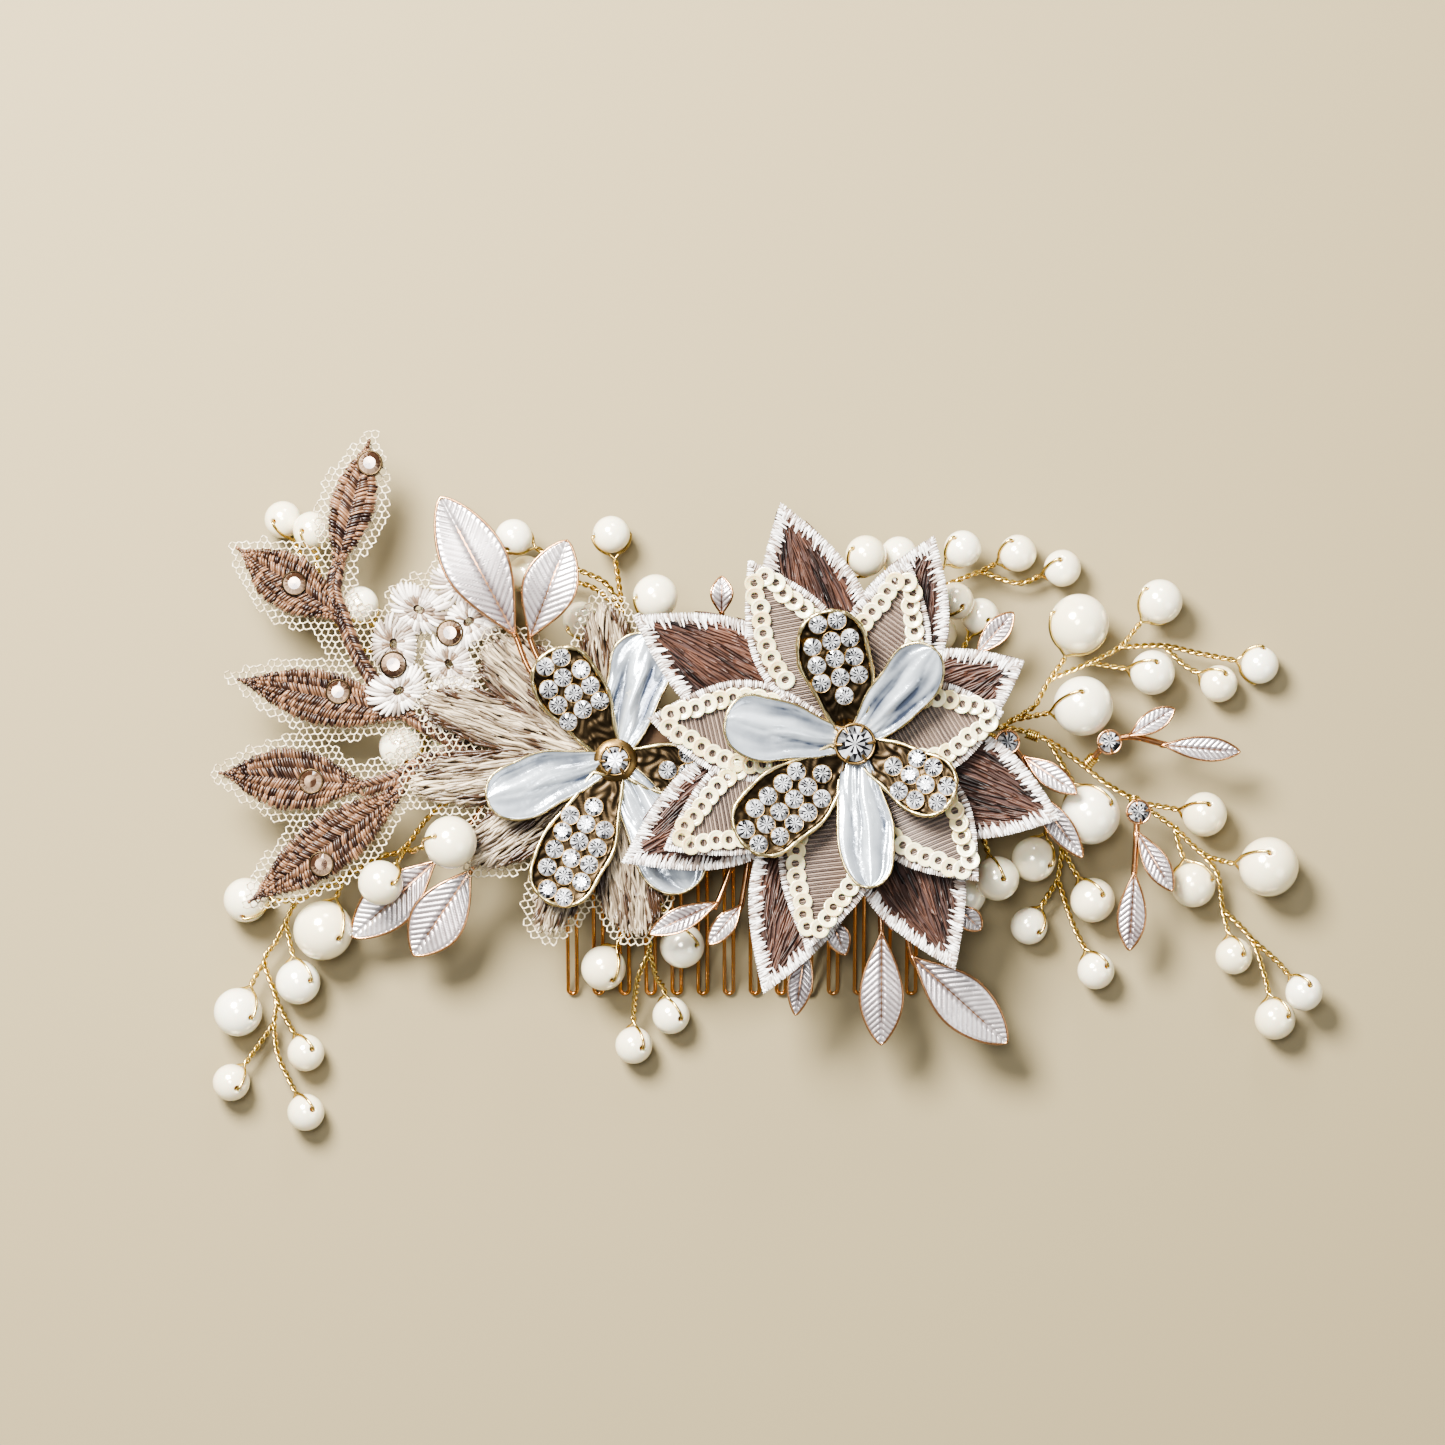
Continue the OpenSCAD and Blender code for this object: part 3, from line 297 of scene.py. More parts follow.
def turned(points, angle):
    """Points turned about Z by an angle in degrees."""
    c, s = math.cos(math.radians(angle)), math.sin(math.radians(angle))
    p = np.asarray(points, float)
    return np.stack([p[..., 0] * c - p[..., 1] * s, p[..., 0] * s + p[..., 1] * c, p[..., 2]], -1)


def laid(points, hub, angle, tilt):
    """Points drawn along +X, tilted up by tilt, turned to angle and moved to hub."""
    c, s = math.cos(math.radians(tilt)), math.sin(math.radians(tilt))
    p = np.asarray(points, float)
    up = np.stack([p[..., 0] * c - p[..., 2] * s, p[..., 1], p[..., 0] * s + p[..., 2] * c], -1)
    return turned(up, angle) + np.asarray(hub, float)


def pointing(start, end):
    """The hub, angle, tilt and length that lay a shape from one point in space to another."""
    start, end = np.asarray(start, float), np.asarray(end, float)
    d = end - start
    angle = math.degrees(math.atan2(d[1], d[0]))
    tilt = math.degrees(math.atan2(d[2], math.hypot(d[0], d[1])))
    return start, angle, tilt, float(np.linalg.norm(d))


def grid_faces(rows, columns, wrap=False, first=0):
    """Faces between neighbouring points of a grid; wrap joins the last column to the first."""
    i, j = np.meshgrid(np.arange(rows - 1), np.arange(columns - (not wrap)), indexing="ij")
    k = (j + 1) % columns
    return np.stack([i * columns + j, i * columns + k, (i + 1) * columns + k, (i + 1) * columns + j],
                    -1).reshape(-1, 4) + first


def end_fans(rows, sides):
    """Triangles that close both ends of a tube."""
    last = (rows - 1) * sides
    return np.array([[0, k + 1, k] for k in range(1, sides - 1)]
                    + [[last, last + k, last + k + 1] for k in range(1, sides - 1)])


def slab(shape, top, bottom, shade=0.5):
    """A closed sheet between two grids of points."""
    rows, columns = top.shape[:2]
    n = rows * columns
    edge = ([(i, 0) for i in range(rows)] + [(rows - 1, j) for j in range(1, columns)]
            + [(i, columns - 1) for i in range(rows - 2, -1, -1)]
            + [(0, j) for j in range(columns - 2, 0, -1)])
    a = np.array([i * columns + j for i, j in edge])
    b = np.roll(a, -1)
    faces = np.concatenate([grid_faces(rows, columns)[:, ::-1], grid_faces(rows, columns, first=n),
                            np.stack([a, b, b + n, a + n], -1)])
    s = np.asarray(shade, float)
    if s.ndim:
        s = np.concatenate([s.ravel(), s.ravel()])
    shape.add(np.concatenate([top.reshape(-1, 3), bottom.reshape(-1, 3)]), faces, s)


def laid_slab(shape, x, y, high, low, place, shade=0.5):
    """A sheet over one pattern, between two heights; place is its hub, angle and tilt."""
    slab(shape, laid(np.stack([x, y, high], -1), *place), laid(np.stack([x, y, low], -1), *place), shade)


def lathe(shape, profile, centre, axis, segments=32, shade=0.5):
    """A closed profile of (distance along the axis, radius) turned about an axis."""
    axis = unit(axis)
    side = unit(np.cross(axis, (0.31, 0.17, 0.93) if abs(axis[2]) < 0.8 else (1, 0, 0)))
    other = np.cross(axis, side)
    a = np.linspace(0, 2 * math.pi, segments, endpoint=False)
    ring = np.cos(a)[:, None] * side + np.sin(a)[:, None] * other
    profile = np.asarray(list(profile) + [profile[0]], float)
    points = (np.asarray(centre, float) + profile[:, 0, None, None] * axis
              + profile[:, 1, None, None] * ring[None])
    faces = grid_faces(len(profile), segments, wrap=True) % ((len(profile) - 1) * segments)
    shape.add(points[:-1], faces, shade)


def add_disc(shape, centre, inner, outer, low, high, segments=40, shade=0.5):
    """A flat ring of cloth about Z, between two radii and two heights."""
    lathe(shape, [(low, inner), (low, outer), (high, outer), (high, inner)], centre, (0, 0, 1),
          segments, shade)


def curve_through(points, step=0.3):
    """A smooth line through points, resampled about step apart."""
    p = np.asarray(points, float)
    p = np.concatenate([[2 * p[0] - p[1]], p, [2 * p[-1] - p[-2]]])
    out = []
    for a, b, c, d in zip(p[:-3], p[1:-2], p[2:-1], p[3:]):
        n = max(2, int(np.linalg.norm(c - b) / step))
        t = np.arange(n)[:, None] / n
        out.append(0.5 * (2 * b + (c - a) * t + (2 * a - 5 * b + 4 * c - d) * t**2
                          + (3 * b - a - 3 * c + d) * t**3))
    return np.concatenate(out + [p[-2:-1]])


def out_and_back(one, other):
    """Values along one edge to the tip, then along the other edge back to the root."""
    return np.concatenate([one, other[-2:0:-1]])


def run_along(line):
    """The distance along a line at each of its points."""
    return np.concatenate([[0], np.cumsum(np.linalg.norm(np.diff(line, axis=0), axis=1))])


def point_at(line, run, distance):
    """The point at a distance along a line."""
    return np.array([np.interp(distance, run, line[:, i]) for i in range(3)])


def frames(line, closed=False):
    """Tangent, side and up along a line, turning as little as possible."""
    ahead = np.roll(line, -1, 0) - np.roll(line, 1, 0) if closed else np.gradient(line, axis=0)
    tangent = unit(ahead)
    side = np.empty_like(line)
    start = (0, 0, 1) if abs(tangent[0][2]) < 0.9 else (1, 0, 0)
    side[0] = unit(np.cross(tangent[0], start))
    for i in range(1, len(line)):
        s = side[i - 1] - tangent[i] * (side[i - 1] @ tangent[i])
        side[i] = unit(s)
    return tangent, side, np.cross(side, tangent)


def tube(shape, line, radius, sides=8, closed=False, shade=0.5):
    """A round tube along a line; radius is a number or one for each point."""
    line = np.asarray(line, float)
    _, side, up = frames(line, closed)
    a = np.linspace(0, 2 * math.pi, sides, endpoint=False)
    r = np.broadcast_to(np.asarray(radius, float), len(line))[:, None, None]
    points = line[:, None] + r * (np.cos(a)[:, None] * side[:, None] + np.sin(a)[:, None] * up[:, None])
    rows = len(line)
    if closed:
        shape.add(points, grid_faces(rows + 1, sides, wrap=True) % (rows * sides), shade)
        return
    first = shape.add(points, grid_faces(rows, sides, wrap=True)[:, ::-1], shade)
    shape.add_faces(end_fans(rows, sides), first, shade)


def threads(shape, lines, radius, shades, up=(0, 0, 1), flat=0.75, sides=6, taper=0.5):
    """Many short threads at once: lines is (threads, points, 3)."""
    lines = np.asarray(lines, float)
    if not len(lines):
        return
    n, rows = lines.shape[:2]
    tangent = unit(np.gradient(lines, axis=1))
    side = unit(np.cross(tangent, np.broadcast_to(up, lines.shape)))
    above = np.cross(side, tangent)
    a = np.linspace(0, 2 * math.pi, sides, endpoint=False)
    r = np.full(rows, 1.0)
    r[[0, -1]] = taper
    r = np.broadcast_to(np.asarray(radius, float), n)[:, None] * r[None]
    points = (lines[:, :, None] + r[:, :, None, None]
              * (np.cos(a)[:, None] * side[:, :, None] + flat * np.sin(a)[:, None] * above[:, :, None]))
    step = rows * sides
    body, ends = grid_faces(rows, sides, wrap=True)[:, ::-1], end_fans(rows, sides)
    offsets = np.arange(n)[:, None, None] * step
    shades = np.asarray(shades, float)
    first = shape.add(points, (body[None] + offsets).reshape(-1, 4), np.repeat(shades, step))
    shape.add_faces((ends[None] + offsets).reshape(-1, 3), first, np.repeat(shades, len(ends))[:, None])


def round_half(t, w, root=3.0, peak=ROUND_PEAK):
    """Half width along a petal with a round end, at t from 0 to 1."""
    t = np.asarray(t, float)
    outer = w / 2 * np.sqrt(np.maximum(0, 1 - ((t - peak) / (1 - peak)) ** 2))
    return np.where(t < peak, root / 2 + (w - root) / 2 * np.sin(math.pi / 2 * t / peak), outer)


def leaf_half(t, w, peak=LEAF_PEAK):
    """Half width along a pointed petal or leaf, at t from 0 to 1."""
    t = np.asarray(t, float)
    rise, fall = np.sin(math.pi / 2 * t / peak), np.cos(math.pi / 2 * (t - peak) / (1 - peak))
    return w / 2 * np.maximum(0, np.where(t < peak, rise, fall))


def shell_half(t, w, peak=0.68):
    """Half width along a metal petal, which has a slim root and a blunt end."""
    t = np.asarray(t, float)
    inner = 1.4 + (w / 2 - 1.4) * np.sin(math.pi / 2 * np.clip(t / peak, 0, 1)) ** 1.3
    outer = w / 2 * np.maximum(0, 1 - np.clip((t - peak) / (1 - peak), 0, 1) ** 3) ** 0.5
    return np.where(t < peak, inner, outer)


def blade_half(t, w, peak=0.56):
    """Half width along an enamelled leaf: a slim foot and a rounder tip."""
    t = np.asarray(t, float)
    rise = np.sin(math.pi / 2 * np.clip(t / peak, 0, 1)) ** 1.1
    fall = np.maximum(0, np.cos(math.pi / 2 * np.clip((t - peak) / (1 - peak), 0, 1))) ** 0.72
    return 0.54 * w * np.where(t < peak, rise, fall)


# ---------------------------------------------------------------- materials


def srgb(r, g, b):
    """A colour given from 0 to 255, as the linear one that a shader takes."""
    parts = [c / 255 / 12.92 if c <= 10 else ((c / 255 + 0.055) / 1.055) ** 2.4 for c in (r, g, b)]
    return (*parts, 1)


def material(name, dark, light, roughness, metallic=0.0, grain=600, patches=120, bump=0.15,
             bump_size=0.00004, rough_spread=0.08, **inputs):
    """A surface between two colours, by each point's shade and by patches, with a fine grain."""
    m = bpy.data.materials.new(name)
    m.use_nodes = True
    nodes, links = m.node_tree.nodes, m.node_tree.links
    shader = nodes["Principled BSDF"]
    shader.inputs["Metallic"].default_value = metallic
    for key, value in inputs.items():
        shader.inputs[key.replace("_", " ")].default_value = value
    where = nodes.new("ShaderNodeTexCoord")

    def noise(scale, detail):
        node = nodes.new("ShaderNodeTexNoise")
        node.inputs["Scale"].default_value = scale
        node.inputs["Detail"].default_value = detail
        links.new(where.outputs["Object"], node.inputs["Vector"])
        return node.outputs["Fac"]

    patch, fine = noise(patches, 3), noise(grain, 4)
    shade = nodes.new("ShaderNodeAttribute")
    shade.attribute_name = "shade"
    both = nodes.new("ShaderNodeMath")
    both.operation = "MULTIPLY_ADD"
    links.new(patch, both.inputs[0])
    both.inputs[1].default_value = 0.7
    links.new(shade.outputs["Fac"], both.inputs[2])
    spread = nodes.new("ShaderNodeMapRange")
    links.new(both.outputs[0], spread.inputs["Value"])
    spread.inputs["From Min"].default_value = 0.35
    spread.inputs["From Max"].default_value = 1.35
    ramp = nodes.new("ShaderNodeValToRGB")
    ramp.color_ramp.elements[0].color = srgb(*dark)
    ramp.color_ramp.elements[1].color = srgb(*light)
    links.new(spread.outputs["Result"], ramp.inputs["Fac"])
    links.new(ramp.outputs["Color"], shader.inputs["Base Color"])
    rough = nodes.new("ShaderNodeMapRange")
    links.new(fine, rough.inputs["Value"])
    rough.inputs["To Min"].default_value = max(0.02, roughness - rough_spread)
    rough.inputs["To Max"].default_value = roughness + rough_spread
    links.new(rough.outputs["Result"], shader.inputs["Roughness"])
    relief = nodes.new("ShaderNodeBump")
    relief.inputs["Strength"].default_value = bump
    relief.inputs["Distance"].default_value = bump_size
    links.new(fine, relief.inputs["Height"])
    links.new(relief.outputs["Normal"], shader.inputs["Normal"])
    return m


def cut_glass(name, dark, light):
    """Cut glass: facets coloured between dark and light as painted reflections, hard and bright, and a
    little clear.
    """
    return material(name, dark, light, 0.06, 0.3, grain=900, patches=900, bump=0.02, rough_spread=0.02,
                    Transmission_Weight=0.1, IOR=1.6, Coat_Weight=1, Coat_Roughness=0.02)


def bare_metal(name, dark, light, roughness, grain=900, **looks):
    return material(name, dark, light, roughness, 1, grain=grain, **looks)


def silk(name, dark, light, roughness, bump=0.5, bump_size=0.00006, **looks):
    """Silk or cotton with a fine twist."""
    return material(name, dark, light, roughness, grain=2600, bump=bump, bump_size=bump_size, **looks)


comb_wire = bare_metal("comb_wire", (204, 144, 84), (254, 220, 166), 0.24, bump=0.1)
gold_wire = bare_metal("gold_wire", (158, 124, 58), (246, 222, 150), 0.22, grain=1200, bump=0.1)
antique_gold = bare_metal("antique_gold", (50, 37, 22), (170, 138, 88), 0.34, patches=420, bump=0.5,
                     bump_size=0.0001)
rim_gold = bare_metal("rim_gold", (130, 112, 72), (226, 208, 160), 0.28, grain=700, patches=300, bump=0.5,
                 bump_size=0.0001)
rose_gold = bare_metal("rose_gold", (136, 78, 42), (232, 184, 138), 0.24, bump=0.2)
dark_metal = bare_metal("dark_metal", (18, 15, 13), (92, 76, 54), 0.35, bump=0.2)
foil = material("foil", (236, 236, 242), (255, 255, 255), 0.2, 0.8, grain=900, bump=0.02,
                rough_spread=0.05)
champagne_foil = material("champagne_foil", (176, 140, 100), (236, 206, 170), 0.22, 0.75, grain=900,
                          bump=0.03, rough_spread=0.03)
# The stones' dark and light ends are painted reflections, set facet by facet in add_stone.
clear_stone = cut_glass("clear_stone", (6, 6, 8), (236, 237, 241))
champagne_stone = cut_glass("champagne_stone", (62, 40, 25), (206, 176, 148))
# petal_enamel's dark end shows as painted shade in the petals' creases, its light end as painted highlights
# on their ridges.
petal_enamel = material("petal_enamel", (66, 74, 90), (240, 248, 255), 0.18, 0.6, grain=900, patches=300,
                        bump=0.6, bump_size=0.00012, Coat_Weight=0.7, Coat_Roughness=0.12)
# leaf_enamel's dark end shows as painted shade in the grooves of the leaves.
leaf_enamel = material("leaf_enamel", (116, 98, 98), (241, 234, 232), 0.28, 0.7, grain=500, patches=200,
                       bump=0.15, Coat_Weight=0.6, Coat_Roughness=0.12)
net_thread = material("net_thread", (160, 140, 104), (228, 216, 188), 0.6, grain=2400, bump=0.3,
                      Sheen_Weight=0.3)
brown_thread = silk("brown_thread", (13, 3, 1), (112, 77, 62), 0.42, bump=0.6, Specular_IOR_Level=0.35)
sprig_thread = silk("sprig_thread", (31, 14, 7), (134, 99, 74), 0.36, bump=0.6, Specular_IOR_Level=0.4)
white_thread = silk("white_thread", (140, 122, 110), (252, 250, 247), 0.45, Sheen_Weight=0.22,
                      Sheen_Roughness=0.4)
ivory_thread = silk("ivory_thread", (108, 88, 70), (248, 241, 233), 0.45, Sheen_Weight=0.22,
                      Sheen_Roughness=0.4)
beige_thread = silk("beige_thread", (54, 33, 14), (232, 213, 180), 0.34, Sheen_Weight=0.1,
                      Sheen_Roughness=0.35)
organza_thread = silk("organza_thread", (50, 36, 28), (142, 122, 107), 0.36, bump=0.4,
                        bump_size=0.00004, Sheen_Weight=0.22, Sheen_Roughness=0.3)
brown_cloth = material("brown_cloth", (36, 18, 13), (70, 42, 34), 0.8, grain=1800, bump=0.5,
                       Sheen_Weight=0.3)
beige_cloth = material("beige_cloth", (44, 28, 15), (84, 62, 40), 0.8, grain=1800, bump=0.5)
organza_cloth = material("organza_cloth", (52, 37, 29), (90, 70, 57), 0.5, grain=2400, bump=0.5,
                         Sheen_Weight=0.22, Sheen_Roughness=0.35)
sequin_cream = material("sequin_cream", (214, 188, 132), (251, 237, 200), 0.22, grain=700, bump=0.1,
                        Coat_Weight=0.5, Coat_Roughness=0.1, Subsurface_Weight=0.25,
                        Subsurface_Scale=0.001)
pearl_cream = material("pearl_cream", (228, 212, 166), (255, 252, 236), 0.18, 0.16, grain=350,
                       bump=0.08, rough_spread=0.06, Coat_Weight=0.8, Coat_Roughness=0.1,
                       Subsurface_Weight=0.15, Subsurface_Scale=0.001)

# ---------------------------------------------------------------- comb


def make_comb():
    """The teeth and rails stay as they are; the binding is wound in the gaps between the teeth."""
    for node, look in (("comb_teeth", comb_wire), ("comb_rails", comb_wire),
                       ("left_flower_post", gold_wire), ("right_flower_post", gold_wire)):
        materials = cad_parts[node].data.materials
        materials.clear()
        materials.append(look)
    winding = Shape()
    turns, length, half_height, half_depth, wire = 5, 1.6, 0.68, 1.43, 0.14
    squareness = 2.6
    a = np.linspace(0, 1, turns * 26 + 1)
    for i in range(TOOTH_GAPS):
        x = (i - (TOOTH_GAPS - 1) / 2) * TOOTH_PITCH
        angle = 2 * math.pi * turns * a + rng.uniform(0, 6)
        y, z = np.cos(angle), np.sin(angle)
        out = (np.abs(y) ** squareness + np.abs(z) ** squareness) ** (-1 / squareness)
        line = np.stack([x + length * (a - 0.5), half_height * y * out, half_depth * z * out], -1)
        tube(winding, line, wire, sides=6, shade=0.3 + 0.4 * rng.random())
    winding.make("comb_winding", comb_wire, "comb_wire", replaces=["comb_binding"])


# ---------------------------------------------------------------- pearls and wire


def wire_frame(pearl):
    """The hole's direction and the wire's direction at a pearl."""
    centre, _, tilt, route = pearl
    v = unit(np.asarray(centre, float) - np.asarray(route[-1], float))
    across = unit(np.cross(v, (0, 0, 1)))
    above = np.cross(across, v)
    c, s = math.cos(math.radians(tilt)), math.sin(math.radians(tilt))
    return across * c - above * s, v


def add_pearl(shape, pearl):
    """A drilled pearl whose hole opens out a little at both ends."""
    centre, d, _, _ = pearl
    axis, _ = wire_frame(pearl)
    radius = d / 2
    mouth, bore = 0.52, 0.34
    a = np.linspace(math.asin(mouth / radius), math.pi - math.asin(mouth / radius), 33)
    outside = [(-radius * math.cos(t), radius * math.sin(t)) for t in a]
    end = radius * math.cos(a[0])
    inside = [(end - 0.06, 0.42), (end - 0.25, bore), (-end + 0.25, bore), (-end + 0.06, 0.42)]
    lathe(shape, outside + inside, centre, axis, 48, shade=0.35 + 0.4 * rng.random())


def twisted(line, phase_end, offset=TWIST_R):
    """Two strands twisted round a line; phase_end is the direction of the first one at its end."""
    _, side, up = frames(line)
    run = run_along(line)
    last = math.atan2(phase_end @ up[-1], phase_end @ side[-1])
    angle = last + 2 * math.pi * (run - run[-1]) / TWIST_PITCH
    turn = np.cos(angle)[:, None] * side + np.sin(angle)[:, None] * up
    return line + offset * turn, line - offset * turn


def add_pearl_wire(shape, pearl):
    """Two twisted strands that open round the back of a pearl and pass through its hole."""
    centre, d, _, route = pearl
    centre = np.asarray(centre, float)
    axis, v = wire_frame(pearl)
    loop = d / 2 + LOOP_ROOM
    line = curve_through(route + [tuple(centre - (d / 2 + CAD_LOOP) * v)], 0.24)
    one, two = twisted(line, axis)
    angle = np.radians(np.arange(16, 84, 8))[:, None]
    arc = centre + loop * (np.sin(angle) * axis - np.cos(angle) * v)
    other = centre - loop * (np.sin(angle) * axis + np.cos(angle) * v)
    hole = [centre + s * axis for s in (loop - 0.12, d / 4, 0, -d / 4, 0.12 - loop)]
    knots = np.concatenate([one[-3:-1], arc, hole, other[::-1], two[-2:-4:-1]])
    whole = np.concatenate([one[:-3], curve_through(knots, 0.3), two[-4::-1]])
    tube(shape, whole, STRAND_R, sides=6, shade=0.3 + 0.4 * rng.random())


def add_trunk(shape, route):
    """Two twisted strands that several pearls branch off."""
    line = curve_through(route, 0.24)
    for strand in twisted(line, np.array([0.6, 0.5, 0.6])):
        tube(shape, strand, STRAND_R, sides=6, shade=0.3 + 0.4 * rng.random())


def coil(shape, start, end, first, turns, radius, wire=0.15):
    """Turns of thin wire round a stem that runs from start to end."""
    start, d = np.asarray(start, float), unit(np.asarray(end, float) - np.asarray(start, float))
    side = unit(np.cross(d, (0, 0, 1)))
    up = np.cross(side, d)
    a = np.linspace(0, turns, turns * 20 + 1)[:, None]
    wave = radius * (1 + 0.05 * np.sin(3.1 * a))
    round_it = np.cos(2 * math.pi * a) * side + np.sin(2 * math.pi * a) * up
    line = start + (first + 0.34 * a) * d + wave * round_it
    tube(shape, line, wire, sides=6, shade=0.5)


def make_pearls_and_wire():
    """Each turning pearl is a piece of its own; the others and the wire are one piece a group."""
    turning = {"right": [], "left": [], "top": [], "bottom": []}
    for name, pearl in TURNING.items():
        turning[name.split("_")[0]].append(pearl)
        one = Shape()
        add_pearl(one, pearl)
        one.make(name + "_bead", pearl_cream, "pearl", body=name, replaces=[name])
    for group, pearls in PEARLS.items():
        beads, wire = Shape(), Shape()
        for pearl in pearls:
            add_pearl(beads, pearl)
        for pearl in pearls + turning[group]:
            add_pearl_wire(wire, pearl)
        for route in TRUNKS[group + "_stems"]:
            add_trunk(wire, route)
        beads.make(group + "_beads", pearl_cream, "pearl", replaces=[group + "_pearls"])
        wire.make(group + "_wire", gold_wire, "gold_wire", replaces=[group + "_stems"])
    binding = Shape()
    for _, _, stem in TWIGS:
        coil(binding, stem[0], stem[1], first=0.3, turns=4, radius=0.66)
    main = TRUNKS["right_stems"][1]
    coil(binding, main[1], main[2], first=1.6, turns=5, radius=0.6)
    binding.make("binding_turns", gold_wire, "gold_wire", replaces=["stem_bindings"])


# ---------------------------------------------------------------- cut stones and their cups


def stone_axes(normal):
    """Two directions at right angles to a stone's normal."""
    side = unit(np.cross(normal, (0.2, 1, 0.1)))
    return side, np.cross(normal, side)


def add_stone(crown, back, centre, normal, d, turn, foil_depth=0.42, flat=False):
    """A round cut stone in front of a faceted foil cone. Each facet's colour is a painted reflection of
    what
    it would mirror: a star of dark and light rays, or, in a flat stone, dark to light from side to side."""
    normal = unit(normal)
    side, other = stone_axes(normal)
    centre, r = np.asarray(centre, float), d / 2

    def ring(n, radius, z, start, shift=0.0):
        a = 2 * math.pi * (np.arange(n) + start) / n + turn
        a = a + shift * (-1.0) ** np.arange(n)
        return centre + radius * (np.cos(a)[:, None] * side + np.sin(a)[:, None] * other) + z * normal

    table = ring(16, 0.56 * r, 0.32 * r, 0.5, 0.03)
    girdle = ring(16, r, 0, 0)
    low = ring(16, r, -0.06 * r, 0)
    culet = centre - foil_depth * d * normal
    points = np.concatenate([table, girdle, low, [centre + 0.32 * r * normal], [culet]])
    i = np.arange(16)
    j = (i + 1) % 16
    star = np.stack([0 * i + 48, i, j], -1)
    kites = np.concatenate([np.stack([i, 16 + j, j], -1), np.stack([i, 16 + i, 16 + j], -1)])
    belt = np.stack([16 + i, 32 + i, 32 + j, 16 + j], -1)
    # Painted reflections: dark and light rays in a star, and kites dark or light at random.
    rays = np.where(i % 2, rng.uniform(0.25, 1.2, 16), rng.uniform(-0.5, 0.05, 16))
    inner, outer = rng.choice([-0.4, 0.0, 0.4, 1.1], 16), rng.uniform(0.0, 0.95, 16)
    if flat:
        # A flat stone's painted reflection runs from dark on one side to light on the other.
        rays = 0.35 + 0.45 * np.cos(math.pi * i / 8 + 2) + rng.uniform(-0.08, 0.08, 16)
        inner, outer = 0.8 * np.roll(rays, 8), np.roll(rays, 7)
    first = crown.add(points, belt, 0.3)
    crown.add_faces(star, first, rays[:, None])
    crown.add_faces(kites, first, np.concatenate([inner, outer])[:, None])
    crown.add_faces(np.stack([32 + i, 0 * i + 49, 32 + j], -1), first, 0.4)
    shell = np.concatenate([ring(8, 1.02 * r, -0.08 * r, 0), ring(8, 0.5 * r, -0.24 * d, 0.5),
                            [culet - 0.05 * r * normal]])
    k = np.arange(8)
    m = (k + 1) % 8
    back.add(shell, np.concatenate([np.stack([k, m, 8 + k], -1), np.stack([m, 8 + m, 8 + k], -1),
                                    np.stack([8 + k, 8 + m, 0 * k + 16], -1)]), 0.5)


def add_collar(shape, centre, normal, d, low, high, wall=0.2):
    """A ring of metal round a stone, from low to high along its normal."""
    r = d / 2
    profile = [(low, r - 0.04), (high - 0.05, r - 0.02), (high, r + 0.05), (high - 0.03, r + wall),
               (low, r + wall + 0.05)]
    lathe(shape, profile, centre, normal, 28, shade=rng.uniform(0.2, 0.7))


def add_claws(shape, centre, normal, d, low, count, wire=0.28):
    """Claws that rise beside a stone and bend over its edge."""
    normal = unit(normal)
    side, other = stone_axes(normal)
    r = d / 2
    for k in range(count):
        a = 2 * math.pi * (k + 0.25) / count
        out = math.cos(a) * side + math.sin(a) * other
        bends = ((r + 0.12, low), (r + 0.22, -0.1), (r + 0.14, 0.2), (0.82 * r, 0.42), (0.72 * r, 0.46))
        path = [np.asarray(centre, float) + p * out + z * normal for p, z in bends]
        line = curve_through(path, 0.25)
        tube(shape, line, wire * np.linspace(1, 0.6, len(line)), sides=8, shade=0.6)


# ---------------------------------------------------------------- leaves


